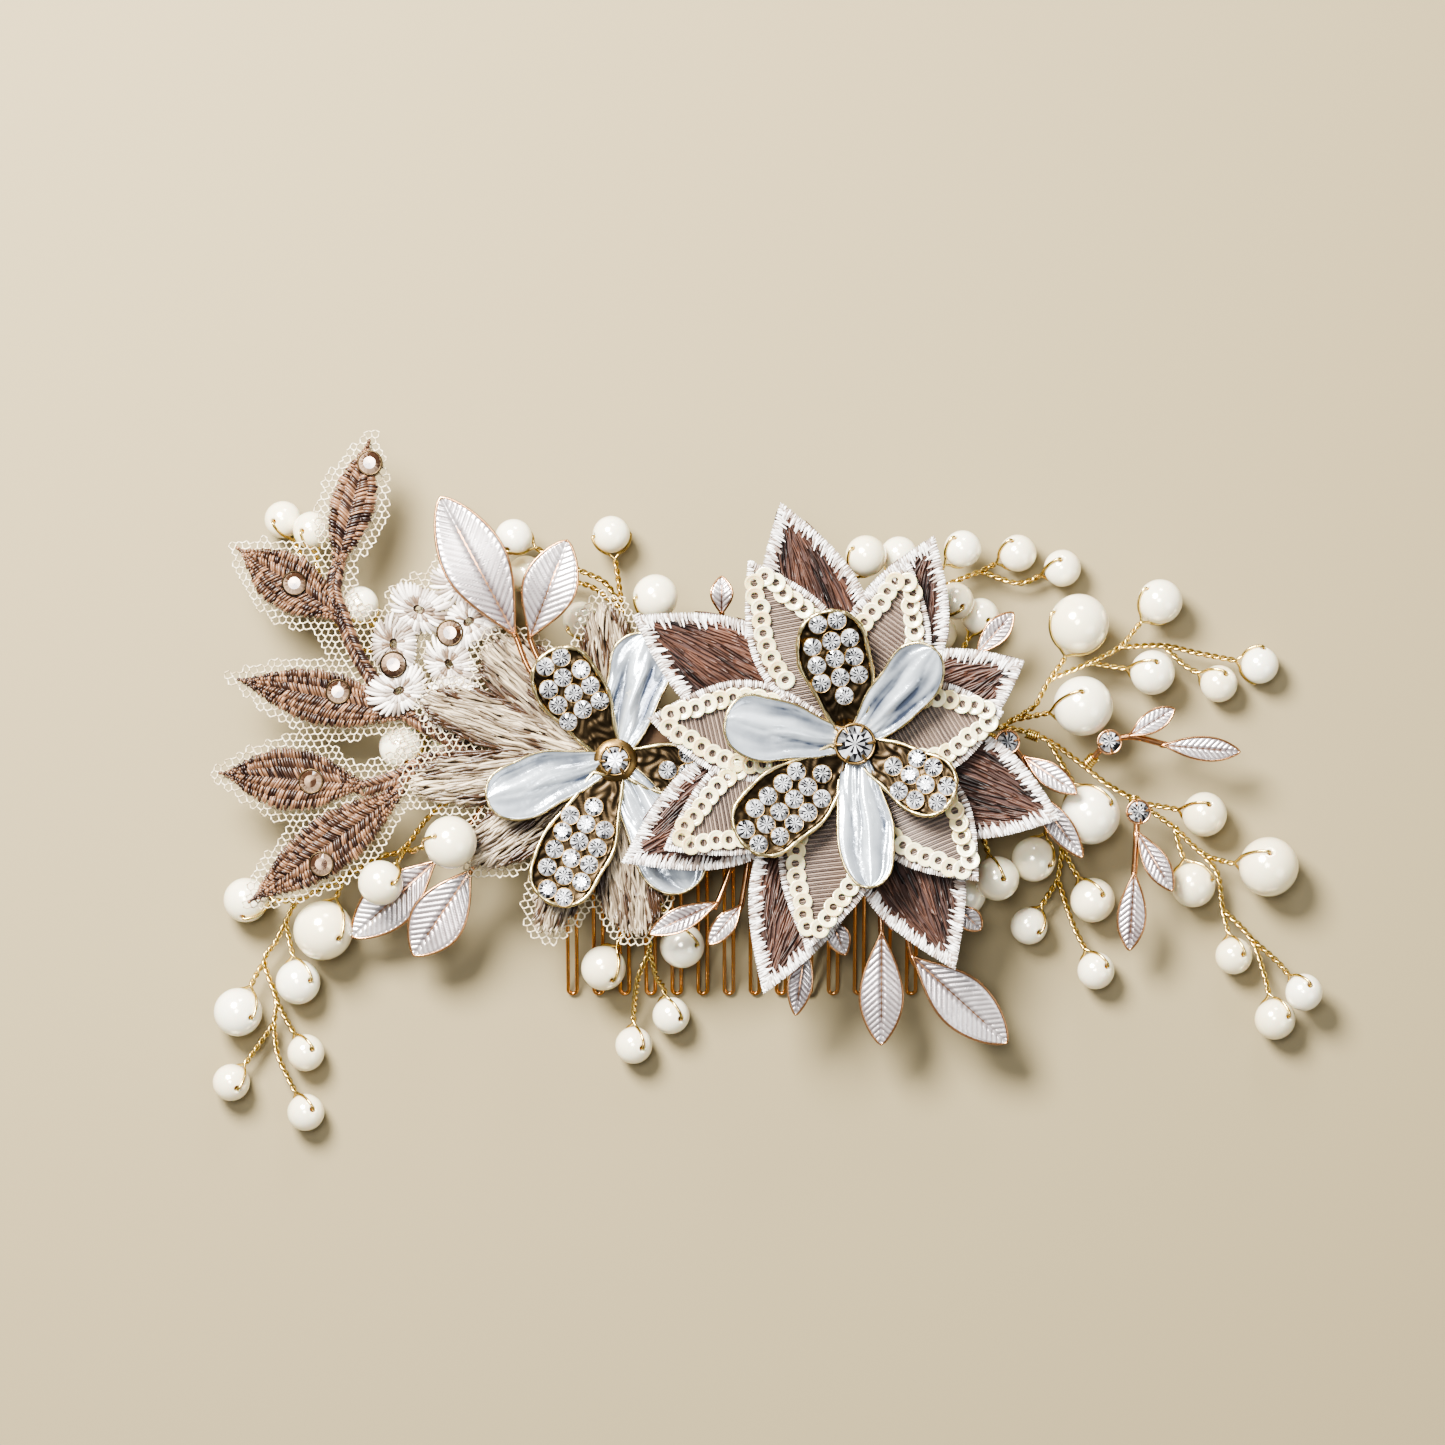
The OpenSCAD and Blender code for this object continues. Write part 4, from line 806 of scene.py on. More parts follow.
def add_leaf(metal, enamel, leaf, relief=1.0, camber=0.45):
    """An enamelled leaf: metal back and rim, a grooved midrib and slanted side veins, with painted shade in
    the grooves and painted light on the veins.
    """
    base, tip, width = leaf
    *place, length = pointing(base, tip)
    seed = rng.uniform(0, 6)
    rows = int(min(280, max(70, length * 13)))
    columns = 27
    u, v = np.meshgrid(np.linspace(0.015, 0.985, rows), np.linspace(-1, 1, columns), indexing="ij")
    half = blade_half(u, width) * (1 + 0.02 * np.sin(9 * u + seed))
    x, y = u * length, v * np.maximum(half - 0.12, 0.03)
    bend = camber * np.sin(math.pi * u) + 0.1 * np.sin(2.6 * math.pi * u + seed)
    cup = 0.05 * width * np.abs(v) ** 1.6 * np.sin(math.pi * u)
    pitch = 0.66 + 0.04 * width
    veins = np.abs(np.sin(math.pi * (x - 0.9 * np.abs(y)) / pitch)) ** 0.55
    fade = np.clip(np.abs(y) / 0.3, 0, 1) * np.clip((1 - np.abs(v)) / 0.12, 0, 1)
    groove = np.exp(-((y / (0.05 * width)) ** 2)) * np.clip((0.9 - u) / 0.15, 0, 1)
    top = 0.58 + bend + cup + relief * (0.2 * veins * fade - 0.18 * groove)
    low = 0.42 + bend + cup
    # Painted light and shade: lighter on the veins' ridges, darker in the grooves between them and along
    # the midrib groove.
    shade = 0.1 + 0.6 * veins - 0.35 * groove + 0.18 * np.sin(5 * u + seed)
    laid_slab(enamel, x, y, top, low, place, shade)
    skip = slice(None, None, 3)
    x, y, bend, cup = x[skip, ::2], y[skip, ::2], bend[skip, ::2], cup[skip, ::2]
    wide = y * 1.02
    spine = 0.12 * np.exp(-((y / (0.08 * width)) ** 2))
    laid_slab(metal, x, wide, 0.46 + bend + cup, 0.2 + bend + cup - spine, place)
    t = np.linspace(0, 1, 50)
    edge, sign = out_and_back(t, t), out_and_back(np.ones(50), -np.ones(50))
    half = blade_half(edge, width) * (1 + 0.02 * np.sin(9 * edge + seed))
    z = 0.56 + camber * np.sin(math.pi * edge) + 0.1 * np.sin(2.6 * math.pi * edge + seed)
    z = z + 0.05 * width * np.sin(math.pi * edge)
    rim = laid(np.stack([edge * length, sign * half, z], -1), *place)
    tube(metal, rim, 0.14 + 0.006 * width, sides=6, closed=True, shade=0.6)


def add_leaf_stem(metal, leaf, route):
    """The wire that grows out of a leaf's back and runs along route to the comb."""
    base, tip, _ = leaf
    base, tip = np.asarray(base, float), np.asarray(tip, float)
    drop = np.array([0, 0, 0.1])
    points = [base + 0.35 * (tip - base) - drop, base + 0.15 * (tip - base) - drop, base - drop]
    line = curve_through(points + [np.asarray(p, float) for p in route], 0.4)
    radius = np.clip(np.linspace(0.15, 3, len(line)), 0.15, 0.4)
    tube(metal, line, radius, sides=8, shade=0.5)


def make_leaves():
    """The five sprays of leaves, then the three twigs with their stones."""
    enamel = Shape()
    for name, leaves in LEAVES.items():
        metal = Shape()
        for base, tip, width, route in leaves:
            add_leaf(metal, enamel, (base, tip, width))
            add_leaf_stem(metal, (base, tip, width), route)
        metal.make(name + "_metal", rose_gold, "rose_gold", replaces=[name])
    enamel.make("leaf_faces", leaf_enamel, "leaf_enamel", replaces=["leaf_enamel"])
    faces, crown, back = Shape(), Shape(), Shape()
    for k, (place, leaves, stem) in enumerate(TWIGS):
        metal = Shape()
        for leaf in leaves:
            add_leaf(metal, faces, leaf, camber=0.3)
            base, tip = np.asarray(leaf[0], float), np.asarray(leaf[1], float)
            near = min(stem[1:], key=lambda p: np.linalg.norm(np.asarray(p) - base))
            arm = curve_through([near, base - (0, 0, 0.05), base + 0.3 * (tip - base)], 0.3)
            tube(metal, arm, np.linspace(0.42, 0.14, len(arm)), sides=8, shade=0.5)
        line = curve_through(stem, 0.3)
        tube(metal, line, 0.42, sides=8, shade=0.5)
        x, y, z = place
        cup = [(0, 0.3), (0, 1.3), (0.35, 1.62), (0.95, 1.7), (1.0, 1.55), (0.85, 1.36), (0.4, 1.2),
               (0.3, 0.3)]
        lathe(metal, cup, (x, y, z), (0, 0, 1), 32, 0.6)
        seat = (x, y, z + 1.02)
        add_claws(metal, seat, (0, 0, 1), 2.6, low=-0.6, count=4, wire=0.2)
        add_stone(crown, back, seat, (0, 0, 1), 2.7, turn=0.3 * k, foil_depth=0.3)
        metal.make(f"twig_{k + 1}_metal", rose_gold, "rose_gold", replaces=[f"twig_{k + 1}"])
    faces.make("twig_faces", leaf_enamel, "leaf_enamel", replaces=["twig_enamel"])
    crown.make("twig_crystals", clear_stone, "clear_stone", replaces=["twig_stones"], smooth=False)
    back.make("twig_foil", foil, "clear_stone", smooth=False)


# ---------------------------------------------------------------- metal flowers


def petal_sides(petal, seed, steps=44):
    """Both edges of a metal petal, a little uneven: x, the two y values, and t from root to tip."""
    _, length, width, _ = petal
    t = np.sin(np.linspace(0.06, 1, steps) * math.pi / 2)
    half = shell_half(t, width)
    left = half * (1 + 0.08 * np.sin(4.2 * t + seed) + 0.04 * np.sin(15 * t + seed))
    right = half * (1 + 0.08 * np.sin(4.6 * t + 2.1 * seed) + 0.04 * np.sin(13 * t + 2 * seed))
    return t * length, left, -right, t


def petal_rise(t, v, width, seed):
    """How far a petal's face rises above its flat pattern."""
    return 0.03 * width * np.abs(v) ** 2.2 * t + 0.12 * np.sin(3.4 * t + seed) * t


def add_petal_rim(shape, petal, hub, seed, z, radius):
    """A round wire along the edge of a metal petal, as uneven as a cast one."""
    x, left, right, t = petal_sides(petal, seed)
    angle, _, width, tilt = petal
    rise = petal_rise(out_and_back(t, t), 1.0, width, seed)
    rim = np.stack([out_and_back(x, x), out_and_back(left, right), z + rise], -1)
    line = laid(rim, hub, angle, tilt)
    k = np.arange(len(line))
    wave = radius * (1 + 0.16 * np.sin(0.9 * k + seed) + 0.14 * np.sin(2.3 * k + 2 * seed))
    tube(shape, line, wave, sides=8, closed=True, shade=0.6)


def petal_grid(petal, seed, inset, columns=29, steps=90):
    """Points over a metal petal as grids of x, y, t along it and v across it, from -1 to 1."""
    x, left, right, t = petal_sides(petal, seed, steps)
    v = np.linspace(-1, 1, columns)
    left, right = np.maximum(left - inset, 0.03), np.minimum(right + inset, -0.03)
    y = (left + right)[:, None] / 2 + v[None] * (left - right)[:, None] / 2
    x = x - inset * t * 0.6
    return np.repeat(x[:, None], columns, 1), y, np.repeat(t[:, None], columns, 1), v[None] + 0 * y


def add_enamel_petal(metal, enamel, petal, hub, seed):
    """A shell-like petal on a metal back: long soft ridges, creases and a fold, with painted highlights on
    the ridges and fold and painted shade in the creases.
    """
    angle, _, width, tilt = petal
    place = (hub, angle, tilt)
    x, y, t, v = petal_grid(petal, seed, 0.12)
    rise = petal_rise(t, v, width, seed)
    ridge = (v - 0.25 * np.sin(2.2 * t + seed)) / 0.24
    fold = 0.45 * np.exp(-(ridge**2)) * np.sin(math.pi * t) ** 0.8
    ridges = (0.2 * np.sin(6 * v + 2.4 * np.sin(2.3 * t + seed) + seed)
              + 0.07 * np.sin(15 * v + 3 * np.sin(3 * t + 2 * seed) + 2 * seed))
    ridges = ridges * np.sin(math.pi * t) ** 0.5
    dent = 0.3 * np.sin(6 * t + 2.2 * v + seed) * t * (1.1 - t)
    for k in range(4):
        crease = -0.66 + 0.42 * k + 0.22 * np.sin(2.6 * t + seed + 2 * k) + 0.04 * np.sin(13 * t + k * seed)
        depth = 0.32 * np.sin(math.pi * np.clip(t + 0.1 * k - 0.1, 0, 1))
        dent = dent - depth * np.exp(-np.abs(v - crease) / 0.05)
    edge = np.clip((1 - np.abs(v)) / 0.12, 0, 1)
    top = 0.75 + rise + np.clip(fold + ridges + dent, -0.17, 0.6) * edge
    # Painted light and shade: lighter on ridges and the fold, darker in creases and dents and towards the
    # edges.
    shade = 0.66 + 1.5 * ridges + 0.6 * fold + 1.5 * dent - 0.25 * np.abs(v) ** 3
    shade = shade + 0.12 * np.sin(4 * t + seed)
    laid_slab(enamel, x, y, top, 0.46 + rise, place, shade)
    skip = (slice(None, None, 3), slice(None, None, 2))
    x, y, rise = x[skip], y[skip], rise[skip]
    laid_slab(metal, x, y, 0.5 + rise, 0.15 + rise, place, 0.4)


def pave_places(length, width):
    """Stones in rows across a petal, with one stone in the row at its root."""
    places, x = [], length - 1.65
    while x > 5.5:
        n = 1 if x < 7 else int((2 * float(round_half(x / length, width)) + 0.2) / PAVE_PITCH)
        for j in range(n):
            off = j - (n - 1) / 2
            places.append((x + 0.25 * (abs(off) < 0.6), off * PAVE_PITCH))
        x -= PAVE_PITCH
    return places


def make_metal_flower(side, hub, pave, enamel, centre_d):
    """A cast flower with enamelled and stone-set petals round one large stone in a clawed cup."""
    base, rims, dark, faces = Shape(), Shape(), Shape(), Shape()
    crown, back = Shape(), Shape()
    lathe(base, [(0.1, 0.6), (0.1, 2.4), (0.5, 3.0), (1.15, 2.8), (1.25, 0.6)], hub, (0, 0, 1), 40, 0.5)
    for k, petal in enumerate(enamel):
        seed = hub[0] + 1.7 * k
        add_enamel_petal(base, faces, petal, hub, seed)
        add_petal_rim(rims, petal, hub, seed, 0.5, 0.19)
    for k, petal in enumerate(pave):
        seed = 2 * hub[0] + 2.3 * k
        angle, length, width, tilt = petal
        place = (hub, angle, tilt)
        x, y, t, v = petal_grid(petal, seed, 0.05)
        rise = petal_rise(t, v, width, seed)
        lumps = 0.11 * np.sin(2.3 * x + 2 * np.sin(1.7 * y + seed))
        lumps = lumps * np.sin(2.1 * y + 2 * np.sin(1.3 * x + seed))
        laid_slab(base, x, y, 0.62 + rise + lumps, 0.1 + rise, place, 0.3 + lumps)
        laid_slab(dark, x, y * 0.94, 0.68 + rise + lumps, 0.4 + rise, place, 0.3)
        add_petal_rim(rims, petal, hub, seed, 0.6, 0.3)
        up = laid([[0, 0, 1.0]], (0, 0, 0), angle, tilt)[0]
        for px, py in pave_places(length, width):
            lift = float(petal_rise(px / length, 2 * py / width, width, seed))
            px, py = px + rng.uniform(-0.08, 0.08), py + rng.uniform(-0.08, 0.08)
            seat = laid([[px, py, PAVE_SEAT + lift]], *place)[0]
            normal = unit(up + rng.uniform(-0.12, 0.12, 3))
            add_collar(base, seat, normal, PAVE_STONE - 0.02, low=-0.65, high=0.06, wall=0.1)
            add_stone(crown, back, seat, normal, PAVE_STONE, rng.uniform(0, 1), foil_depth=0.3)
    seat = np.asarray(hub, float) + (0, 0, 2.5)
    cup = Shape()
    r = centre_d / 2
    bowl = [(-1.35, 0.3), (-1.35, 0.62 * r), (-0.7, 0.8 * r), (-0.1, 1.02 * r), (0.02, 1.1 * r),
            (-0.15, 1.16 * r), (-0.9, 0.95 * r), (-1.5, 0.8 * r), (-1.5, 0.3)]
    lathe(cup, bowl, seat, (0, 0, 1), 40)
    add_claws(cup, seat, (0, 0, 1), centre_d - 0.1, low=-1.4, count=6, wire=0.3)
    gem, gem_back = Shape(), Shape()
    add_stone(gem, gem_back, seat, (0, 0, 1), centre_d - 0.1, turn=0.2, foil_depth=0.28)
    base.make(side + "_casting", antique_gold, "antique_gold", replaces=[side + "_flower_frame"])
    rims.make(side + "_petal_rims", rim_gold, "antique_gold")
    dark.make(side + "_settings", dark_metal, "antique_gold")
    faces.make(side + "_petal_enamel", petal_enamel, "petal_enamel", replaces=[side + "_flower_enamel"])
    crown.make(side + "_crystals", clear_stone, "clear_stone", replaces=[side + "_flower_stones"],
               smooth=False)
    back.make(side + "_crystal_foil", foil, "clear_stone", smooth=False)
    cup.make(side + "_claw_cup", antique_gold, "antique_gold", replaces=[side + "_centre_cup"])
    gem.make(side + "_centre_crystal", clear_stone, "clear_stone", replaces=[side + "_centre_stone"],
             smooth=False)
    gem_back.make(side + "_centre_foil", foil, "clear_stone", smooth=False)


# ---------------------------------------------------------------- embroidery


def column_stitches(length, half_at, spacing, stitch, first, last, z, lift=0.12, blunt=False):
    """Long and short stitches that follow a petal's outline from its root to its tip."""
    widest = float(np.max(half_at(np.linspace(0, 1, 60))))
    count = int(2 * widest / spacing)
    lines, shades, radii = [], [], []
    for k in range(count):
        v = -1 + 2 * (k + 0.5) / count
        x = first + rng.uniform(-0.5, 0.5) * stitch
        stop = last * (0.66 + 0.34 * math.sqrt(1 - v * v)) if blunt else last
        while x < stop:
            end = min(stop + 0.4, x + stitch * rng.uniform(0.8, 1.25))
            middle = float(half_at((x + end) / 2 / length))
            narrow = middle < 0.5 * widest
            if k % 2 and narrow or end - x < 0.8:
                x = end
                continue
            t = np.linspace(x, end, 5)
            sway = rng.uniform(-0.12, 0.12) + rng.uniform(-0.1, 0.1) * (t - x)
            y = v * half_at(t / length) + sway
            arch = z + lift * np.sin(math.pi * (t - x) / (end - x)) + rng.uniform(0, 0.08)
            lines.append(np.stack([t, y, arch], -1))
            shades.append(0.02 + 0.42 * rng.uniform(0, 1) + 0.3 * (0.5 + 0.5 * math.sin(7 * v + 0.35 * x)))
            radii.append(spacing * 0.62 * max(0.6, min(1, middle / widest * (2 if narrow else 1))))
            x = end - 0.35
    return np.array(lines), np.array(shades), np.array(radii)


def edge_stitches(length, half_at, spacing, depth, first, z, slant=0.35, jitter=0.5):
    """Short stitches across both edges of a petal, leaning towards its tip."""
    t = np.linspace(first / length, 1, 400)
    x, h = t * length, half_at(t)
    run = np.concatenate([[0], np.cumsum(np.hypot(np.diff(x), np.diff(h)))])
    marks = np.arange(0, run[-1] + 0.1, spacing)
    lines, shades = [], []
    for sign in (-1, 1):
        for m in marks:
            ex, eh = np.interp(m, run, x), np.interp(m, run, h)
            bx, bh = np.interp(m + 0.2, run, x) - ex, np.interp(m + 0.2, run, h) - eh
            tangent = unit(np.array([bx, bh]) if abs(bx) + abs(bh) > 1e-6 else np.array([0.4, -1.0]))
            inward = np.array([tangent[1], -tangent[0]]) - (slant + rng.uniform(-0.16, 0.16)) * tangent
            reach = depth * rng.uniform(1 - jitter, 1 + jitter * 0.4)
            s = np.linspace(-0.18, reach, 5)
            px = ex + s * inward[0] + rng.uniform(-0.06, 0.06)
            ph = eh + s * inward[1]
            arch = z + 0.16 * np.sin(math.pi * np.linspace(0.1, 1, 5)) + rng.uniform(0, 0.06)
            lines.append(np.stack([px, sign * ph, arch], -1))
            shades.append(rng.uniform(-0.1, 1.1))
    return np.array(lines), np.array(shades)


def fabric_bend(points, length, width, seed, amount):
    """Cloth petals curl a little: their edges fall and their length waves."""
    p = np.array(points, float)
    t, v = p[..., 0] / length, p[..., 1] / (width / 2)
    wave = np.sin(3.2 * t + seed) + 0.35 * np.sin(2.4 * v + 5 * t + seed)
    p[..., 2] += amount * (wave * t - 0.7 * v**2)
    return p


def cloth_petal(petal, hub, tilt, seed, amount):
    """A cloth petal's half width, and what bends its drawing and lays it in its place."""
    angle, length, width = petal

    def half(t):
        return leaf_half(t, width, CLOTH_PEAK)

    def place(points):
        return laid(fabric_bend(points, length, width, seed, amount), hub, angle, tilt)

    return half, place


def leaf_cloth(shape, length, width, peak, thick, place, shade=0.5, inset=0.1):
    """A pointed piece of cloth; place lays its drawing where it belongs."""
    u, v = np.meshgrid(np.linspace(0.02, 0.99, 60), np.linspace(-1, 1, 21), indexing="ij")
    y = v * np.maximum(leaf_half(u, width, peak) - inset, 0.05)
    flat = np.stack([u * length, y, 0 * u], -1)
    slab(shape, place(flat + (0, 0, thick)), place(flat), shade)


def make_brown_flower():
    """Cloth petals in brown satin stitch, edged in white."""
    cloth, brown, white = Shape(), Shape(), Shape()
    for k, petal in enumerate(BROWN_PETALS):
        _, length, width = petal
        half, place = cloth_petal(petal, BROWN_HUB + (0, 0, 0.2), BROWN_TILT, 1.9 * k, 0.5)
        leaf_cloth(cloth, length, width, CLOTH_PEAK, 0.25, place)
        lines, shades, radii = column_stitches(length, half, THREAD, stitch=4.6, first=7,
                                               last=length - 1.2, z=0.34)
        threads(brown, place(lines), radii, shades - 0.12)
        lines, shades = edge_stitches(length, half, spacing=0.29, depth=1.75, first=6, z=0.5)
        threads(white, place(lines), 0.16, shades, taper=0.25)
        lines, shades = edge_stitches(length, half, spacing=0.4, depth=0.9, first=6, z=0.6, slant=0.1)
        threads(white, place(lines), 0.14, shades, taper=0.3)
    add_disc(cloth, BROWN_HUB, 0.8, 8, 0.15, 0.4)
    base = cloth.make("brown_flower_cloth", brown_cloth, "brown_thread", replaces=["brown_petals"])
    stitches = brown.make("brown_flower_stitches", brown_thread, "brown_thread")
    edges = white.make("brown_flower_edging", white_thread, "ivory_thread")


def sequin_route(length, width):
    """The V that the sequins follow on an organza petal."""
    x = np.linspace(0.42, 0.84, 9) * length
    y = np.maximum(1.7, leaf_half(x / length, width, CLOTH_PEAK) - 2.1)
    tip = [(0.9 * length, 0.9, 0)]
    side = [(a, b, 0) for a, b in zip(x, y)]
    other = [(a, -b, 0) for a, b in zip(x[::-1], y[::-1])]
    return curve_through(side + tip + [(0.9 * length, -0.9, 0)] + other, 0.1)


def add_sequins(shape, petal, place):
    """Cupped discs in a row along the V of a petal, each leaning on the next."""
    angle, length, width = petal
    route = sequin_route(length, width)
    run = run_along(route)
    lift = np.array([0, 0, 0.62])
    up = laid([[0, 0, 1.0]], (0, 0, 0), angle, ORGANZA_TILT)[0]
    profile = [(0.0, 0.5), (-0.02, 0.68), (0.1, 1.02), (0.24, 1.3), (0.36, 1.27), (0.22, 0.98),
               (0.12, 0.68), (0.14, 0.5)]
    for m in np.arange(0.3, run[-1], SEQUIN_PITCH):
        here = point_at(route, run, m) + lift
        step = unit(point_at(route, run, m + 0.4) - point_at(route, run, m - 0.4))
        spot, front = place(np.array([here, here + step]))
        normal = unit(up - 0.2 * unit(front - spot) + rng.uniform(-0.06, 0.06, 3))
        lathe(shape, profile, spot, normal, 24, shade=rng.uniform(0.2, 0.9))


def make_organza_flower():
    """Ribbed petals with a white edging and sequins."""
    cloth, ribs, edging, sequins = Shape(), Shape(), Shape(), Shape()
    for k, petal in enumerate(ORGANZA_PETALS):
        _, length, width = petal
        half, place = cloth_petal(petal, ORGANZA_HUB, ORGANZA_TILT, 1.3 * k + 0.6, 0.45)
        leaf_cloth(cloth, length, width, CLOTH_PEAK, 0.2, place)
        lean = 0.35 * (-1) ** k
        x = np.arange(5, length - 0.6, 0.3)
        v = np.linspace(-1, 1, 13)
        lines = []
        for s in x:
            h = float(half(s / length)) - 0.15
            px = np.clip(s + lean * v * h, 3, length - 0.3)
            reach = np.minimum(h, half(px / length) - 0.1)
            lines.append(np.stack([px, v * np.maximum(reach, 0.05), 0.24 + 0 * v], -1))
        shades = 0.5 + 0.45 * (-1.0) ** np.arange(len(x)) * rng.uniform(0.5, 1, len(x))
        threads(ribs, place(np.array(lines)), 0.13, shades, sides=5)
        lines, shades = edge_stitches(length, half, spacing=0.3, depth=0.7, first=5, z=0.3,
                                      slant=0.05, jitter=0.35)
        threads(edging, place(lines), 0.14, shades)
        add_sequins(sequins, petal, place)
    add_disc(cloth, ORGANZA_HUB, 0.8, 6, 0, 0.3)
    base = cloth.make("organza_cloth", organza_cloth, "organza", replaces=["organza_petals"])
    rib_piece = ribs.make("organza_ribs", organza_thread, "organza")
    edges = edging.make("organza_edging", white_thread, "ivory_thread")
    discs = sequins.make("cream_sequins", sequin_cream, "sequin", replaces=["sequins"])


def make_beige_flower():
    """Three layers of loose silk stitches over a backing, in round lobes."""
    stitches, cloth = Shape(), Shape()
    hub = LEFT_HUB[:2]
    for tip, width in BEIGE_LOBES:
        d = np.array(tip) - hub
        length, angle = float(np.hypot(*d)), math.degrees(math.atan2(d[1], d[0]))

        def place(p, angle=angle):
            return laid(p, (hub[0], hub[1], BEIGE_Z), angle, 0)

        def half(t, width=width):
            return round_half(np.minimum(t, ROUND_PEAK), width, 4)

        for layer, (stitch, spacing) in enumerate([(7, 0.4), (5, 0.5), (4.2, 0.6)]):
            lines, shades, radii = column_stitches(length, half, spacing, stitch, first=3 + layer,
                                                   last=length - 0.4 * layer, z=0.42 + 0.14 * layer,
                                                   lift=0.22, blunt=True)
            off = np.abs(lines[:, 2, 1]) / (width / 2)
            lines[..., 2] += 0.7 * (1 - np.minimum(off, 1) ** 2)[:, None]
            # Painted shade: stitches darker towards a lobe's edges, where its dome falls away.
            shades = shades - 0.55 * off ** 3
            bow = np.sin(np.linspace(0, 2 * math.pi, lines.shape[1]))
            lines[..., 1] += rng.uniform(-0.22, 0.22, len(lines))[:, None] * bow
            threads(stitches, place(lines), np.minimum(radii, 0.21), shades - 0.1, taper=0.35)
        u, v = np.meshgrid(np.linspace(0.1, 0.97, 40), np.linspace(-1, 1, 15), indexing="ij")
        y = v * np.maximum(round_half(u, width, 4) - 0.3, 0.05)
        flat = np.stack([u * length, y, 0 * u], -1)
        slab(cloth, place(flat + (0, 0, 0.36)), place(flat + (0, 0, 0.12)), 0.4)
    add_disc(cloth, (hub[0], hub[1], BEIGE_Z), 0.8, 7.8, 0.15, 0.5)
    base = cloth.make("beige_flower_backing", beige_cloth, "beige_thread", replaces=["beige_embroidery"])
    return base, stitches.make("beige_flower_silk", beige_thread, "beige_thread")


def rope_stitches(shape, route, width, z, spacing=0.42):
    """Two rows of slanted stitches along a stem, like a plait."""
    line = curve_through([(x, y, z) for x, y in route], 0.1)
    run = run_along(line)
    lines, shades = [], []
    for m in np.arange(0.2, run[-1] - 0.2, spacing):
        for sign in (-1, 1):
            here = point_at(line, run, m)
            d = unit(point_at(line, run, m + 0.3) - here)
            side = np.array([-d[1], d[0], 0]) * sign
            s = np.linspace(-0.15, 1, 6)[:, None]
            bow = 0.3 * np.sin(math.pi * s)
            ahead = s * 0.9 - 0.3 + rng.uniform(-0.1, 0.1)
            lines.append(here + s * side * width / 2 + ahead * d + bow * (0, 0, 1))
            shades.append(rng.uniform(0, 1) ** 2)
    threads(shape, np.array(lines), 0.24, shades, taper=0.6)


def make_sprig():
    """The brown sprig, its stems, and all the champagne stones."""
    stitches, felt = Shape(), Shape()
    crown, back, dark = Shape(), Shape(), Shape()
    for k, (tip, base, width, stone) in enumerate(SPRIG_LOBES):
        hub, angle, _, length = pointing((*base, SPRIG_Z), (*tip, SPRIG_Z))

        def place(p, hub=hub, angle=angle):
            return laid(p, hub, angle, 0)

        leaf_cloth(felt, length, width, LEAF_PEAK, 0.3, place, shade=0.3, inset=0.3)
        rows = [(0.0, 0.58), (0.5, 1.04)] if width < 6 else [(0.0, 0.42), (0.34, 0.74), (0.66, 1.04)]
        for sign in (-1, 1):
            for low, high in rows:
                lines, shades, radii = [], [], []
                for x0 in np.arange(-0.4 + rng.uniform(0, 0.3), length - 0.2, 0.4):
                    h = float(leaf_half(max(0.02, min(1, (x0 + 0.8) / length)), width)) - 0.05
                    lean = 0.42 * h
                    s = np.linspace(low, high + rng.uniform(-0.06, 0.06), 6)
                    x = x0 + s * lean + 0.25 * np.sin(math.pi * s) + rng.uniform(-0.12, 0.12)
                    y = sign * (s * h + 0.03)
                    z = 0.34 + 0.32 * np.sin(math.pi * np.linspace(0.04, 0.96, 6)) ** 0.7 + 0.16 * (1 - s)
                    lines.append(np.stack([x, y, z + rng.uniform(0, 0.1)], -1))
                    shades.append(rng.uniform(0, 1) ** 2)
                    radii.append(rng.uniform(0.16, 0.24))
                threads(stitches, place(np.array(lines)), np.array(radii), shades, taper=0.55)
        fork = SPRIG_FORKS[k]
        inner = np.array(base) + 0.12 * (np.array(tip) - np.array(base))
        twig = [tuple(inner), tuple((inner + np.array(fork)) / 2), fork]
        rope_stitches(stitches, twig, 1.7, SPRIG_Z + 0.36)
        seat = (stone[0], stone[1], SPRIG_Z + 1.0)
        normal = unit([rng.uniform(-0.08, 0.08), rng.uniform(-0.08, 0.08), 1])
        add_collar(dark, seat, normal, 3.0, low=-0.7, high=0.12, wall=0.18)
        add_stone(crown, back, seat, normal, 2.95, turn=0.4 * k, foil_depth=0.22, flat=True)
    rope_stitches(stitches, SPRIG_STEM, 1.9, SPRIG_Z + 0.4)
    rope_stitches(stitches, SPRIG_ROOT, 2.1, SPRIG_Z + 0.4)
    for x, y in LACE_STONES:
        seat = (x, y, LACE_Z + 1.15)
        add_collar(dark, seat, (0, 0, 1), 3.2, low=-0.8, high=0.12, wall=0.2)
        add_stone(crown, back, seat, (0.05, 0.03, 1), 3.15, turn=x, foil_depth=0.22, flat=True)
    stitches.make("sprig_stitches", sprig_thread, "brown_thread", replaces=["sprig_embroidery"])
    felt.make("sprig_felt", brown_cloth, "brown_thread")
    crown.make("champagne_crystals", champagne_stone, "champagne_stone", smooth=False,
               replaces=["sprig_stones", "lace_stones"])
    back.make("champagne_foils", champagne_foil, "champagne_stone", smooth=False)
    dark.make("champagne_settings", dark_metal, "antique_gold")


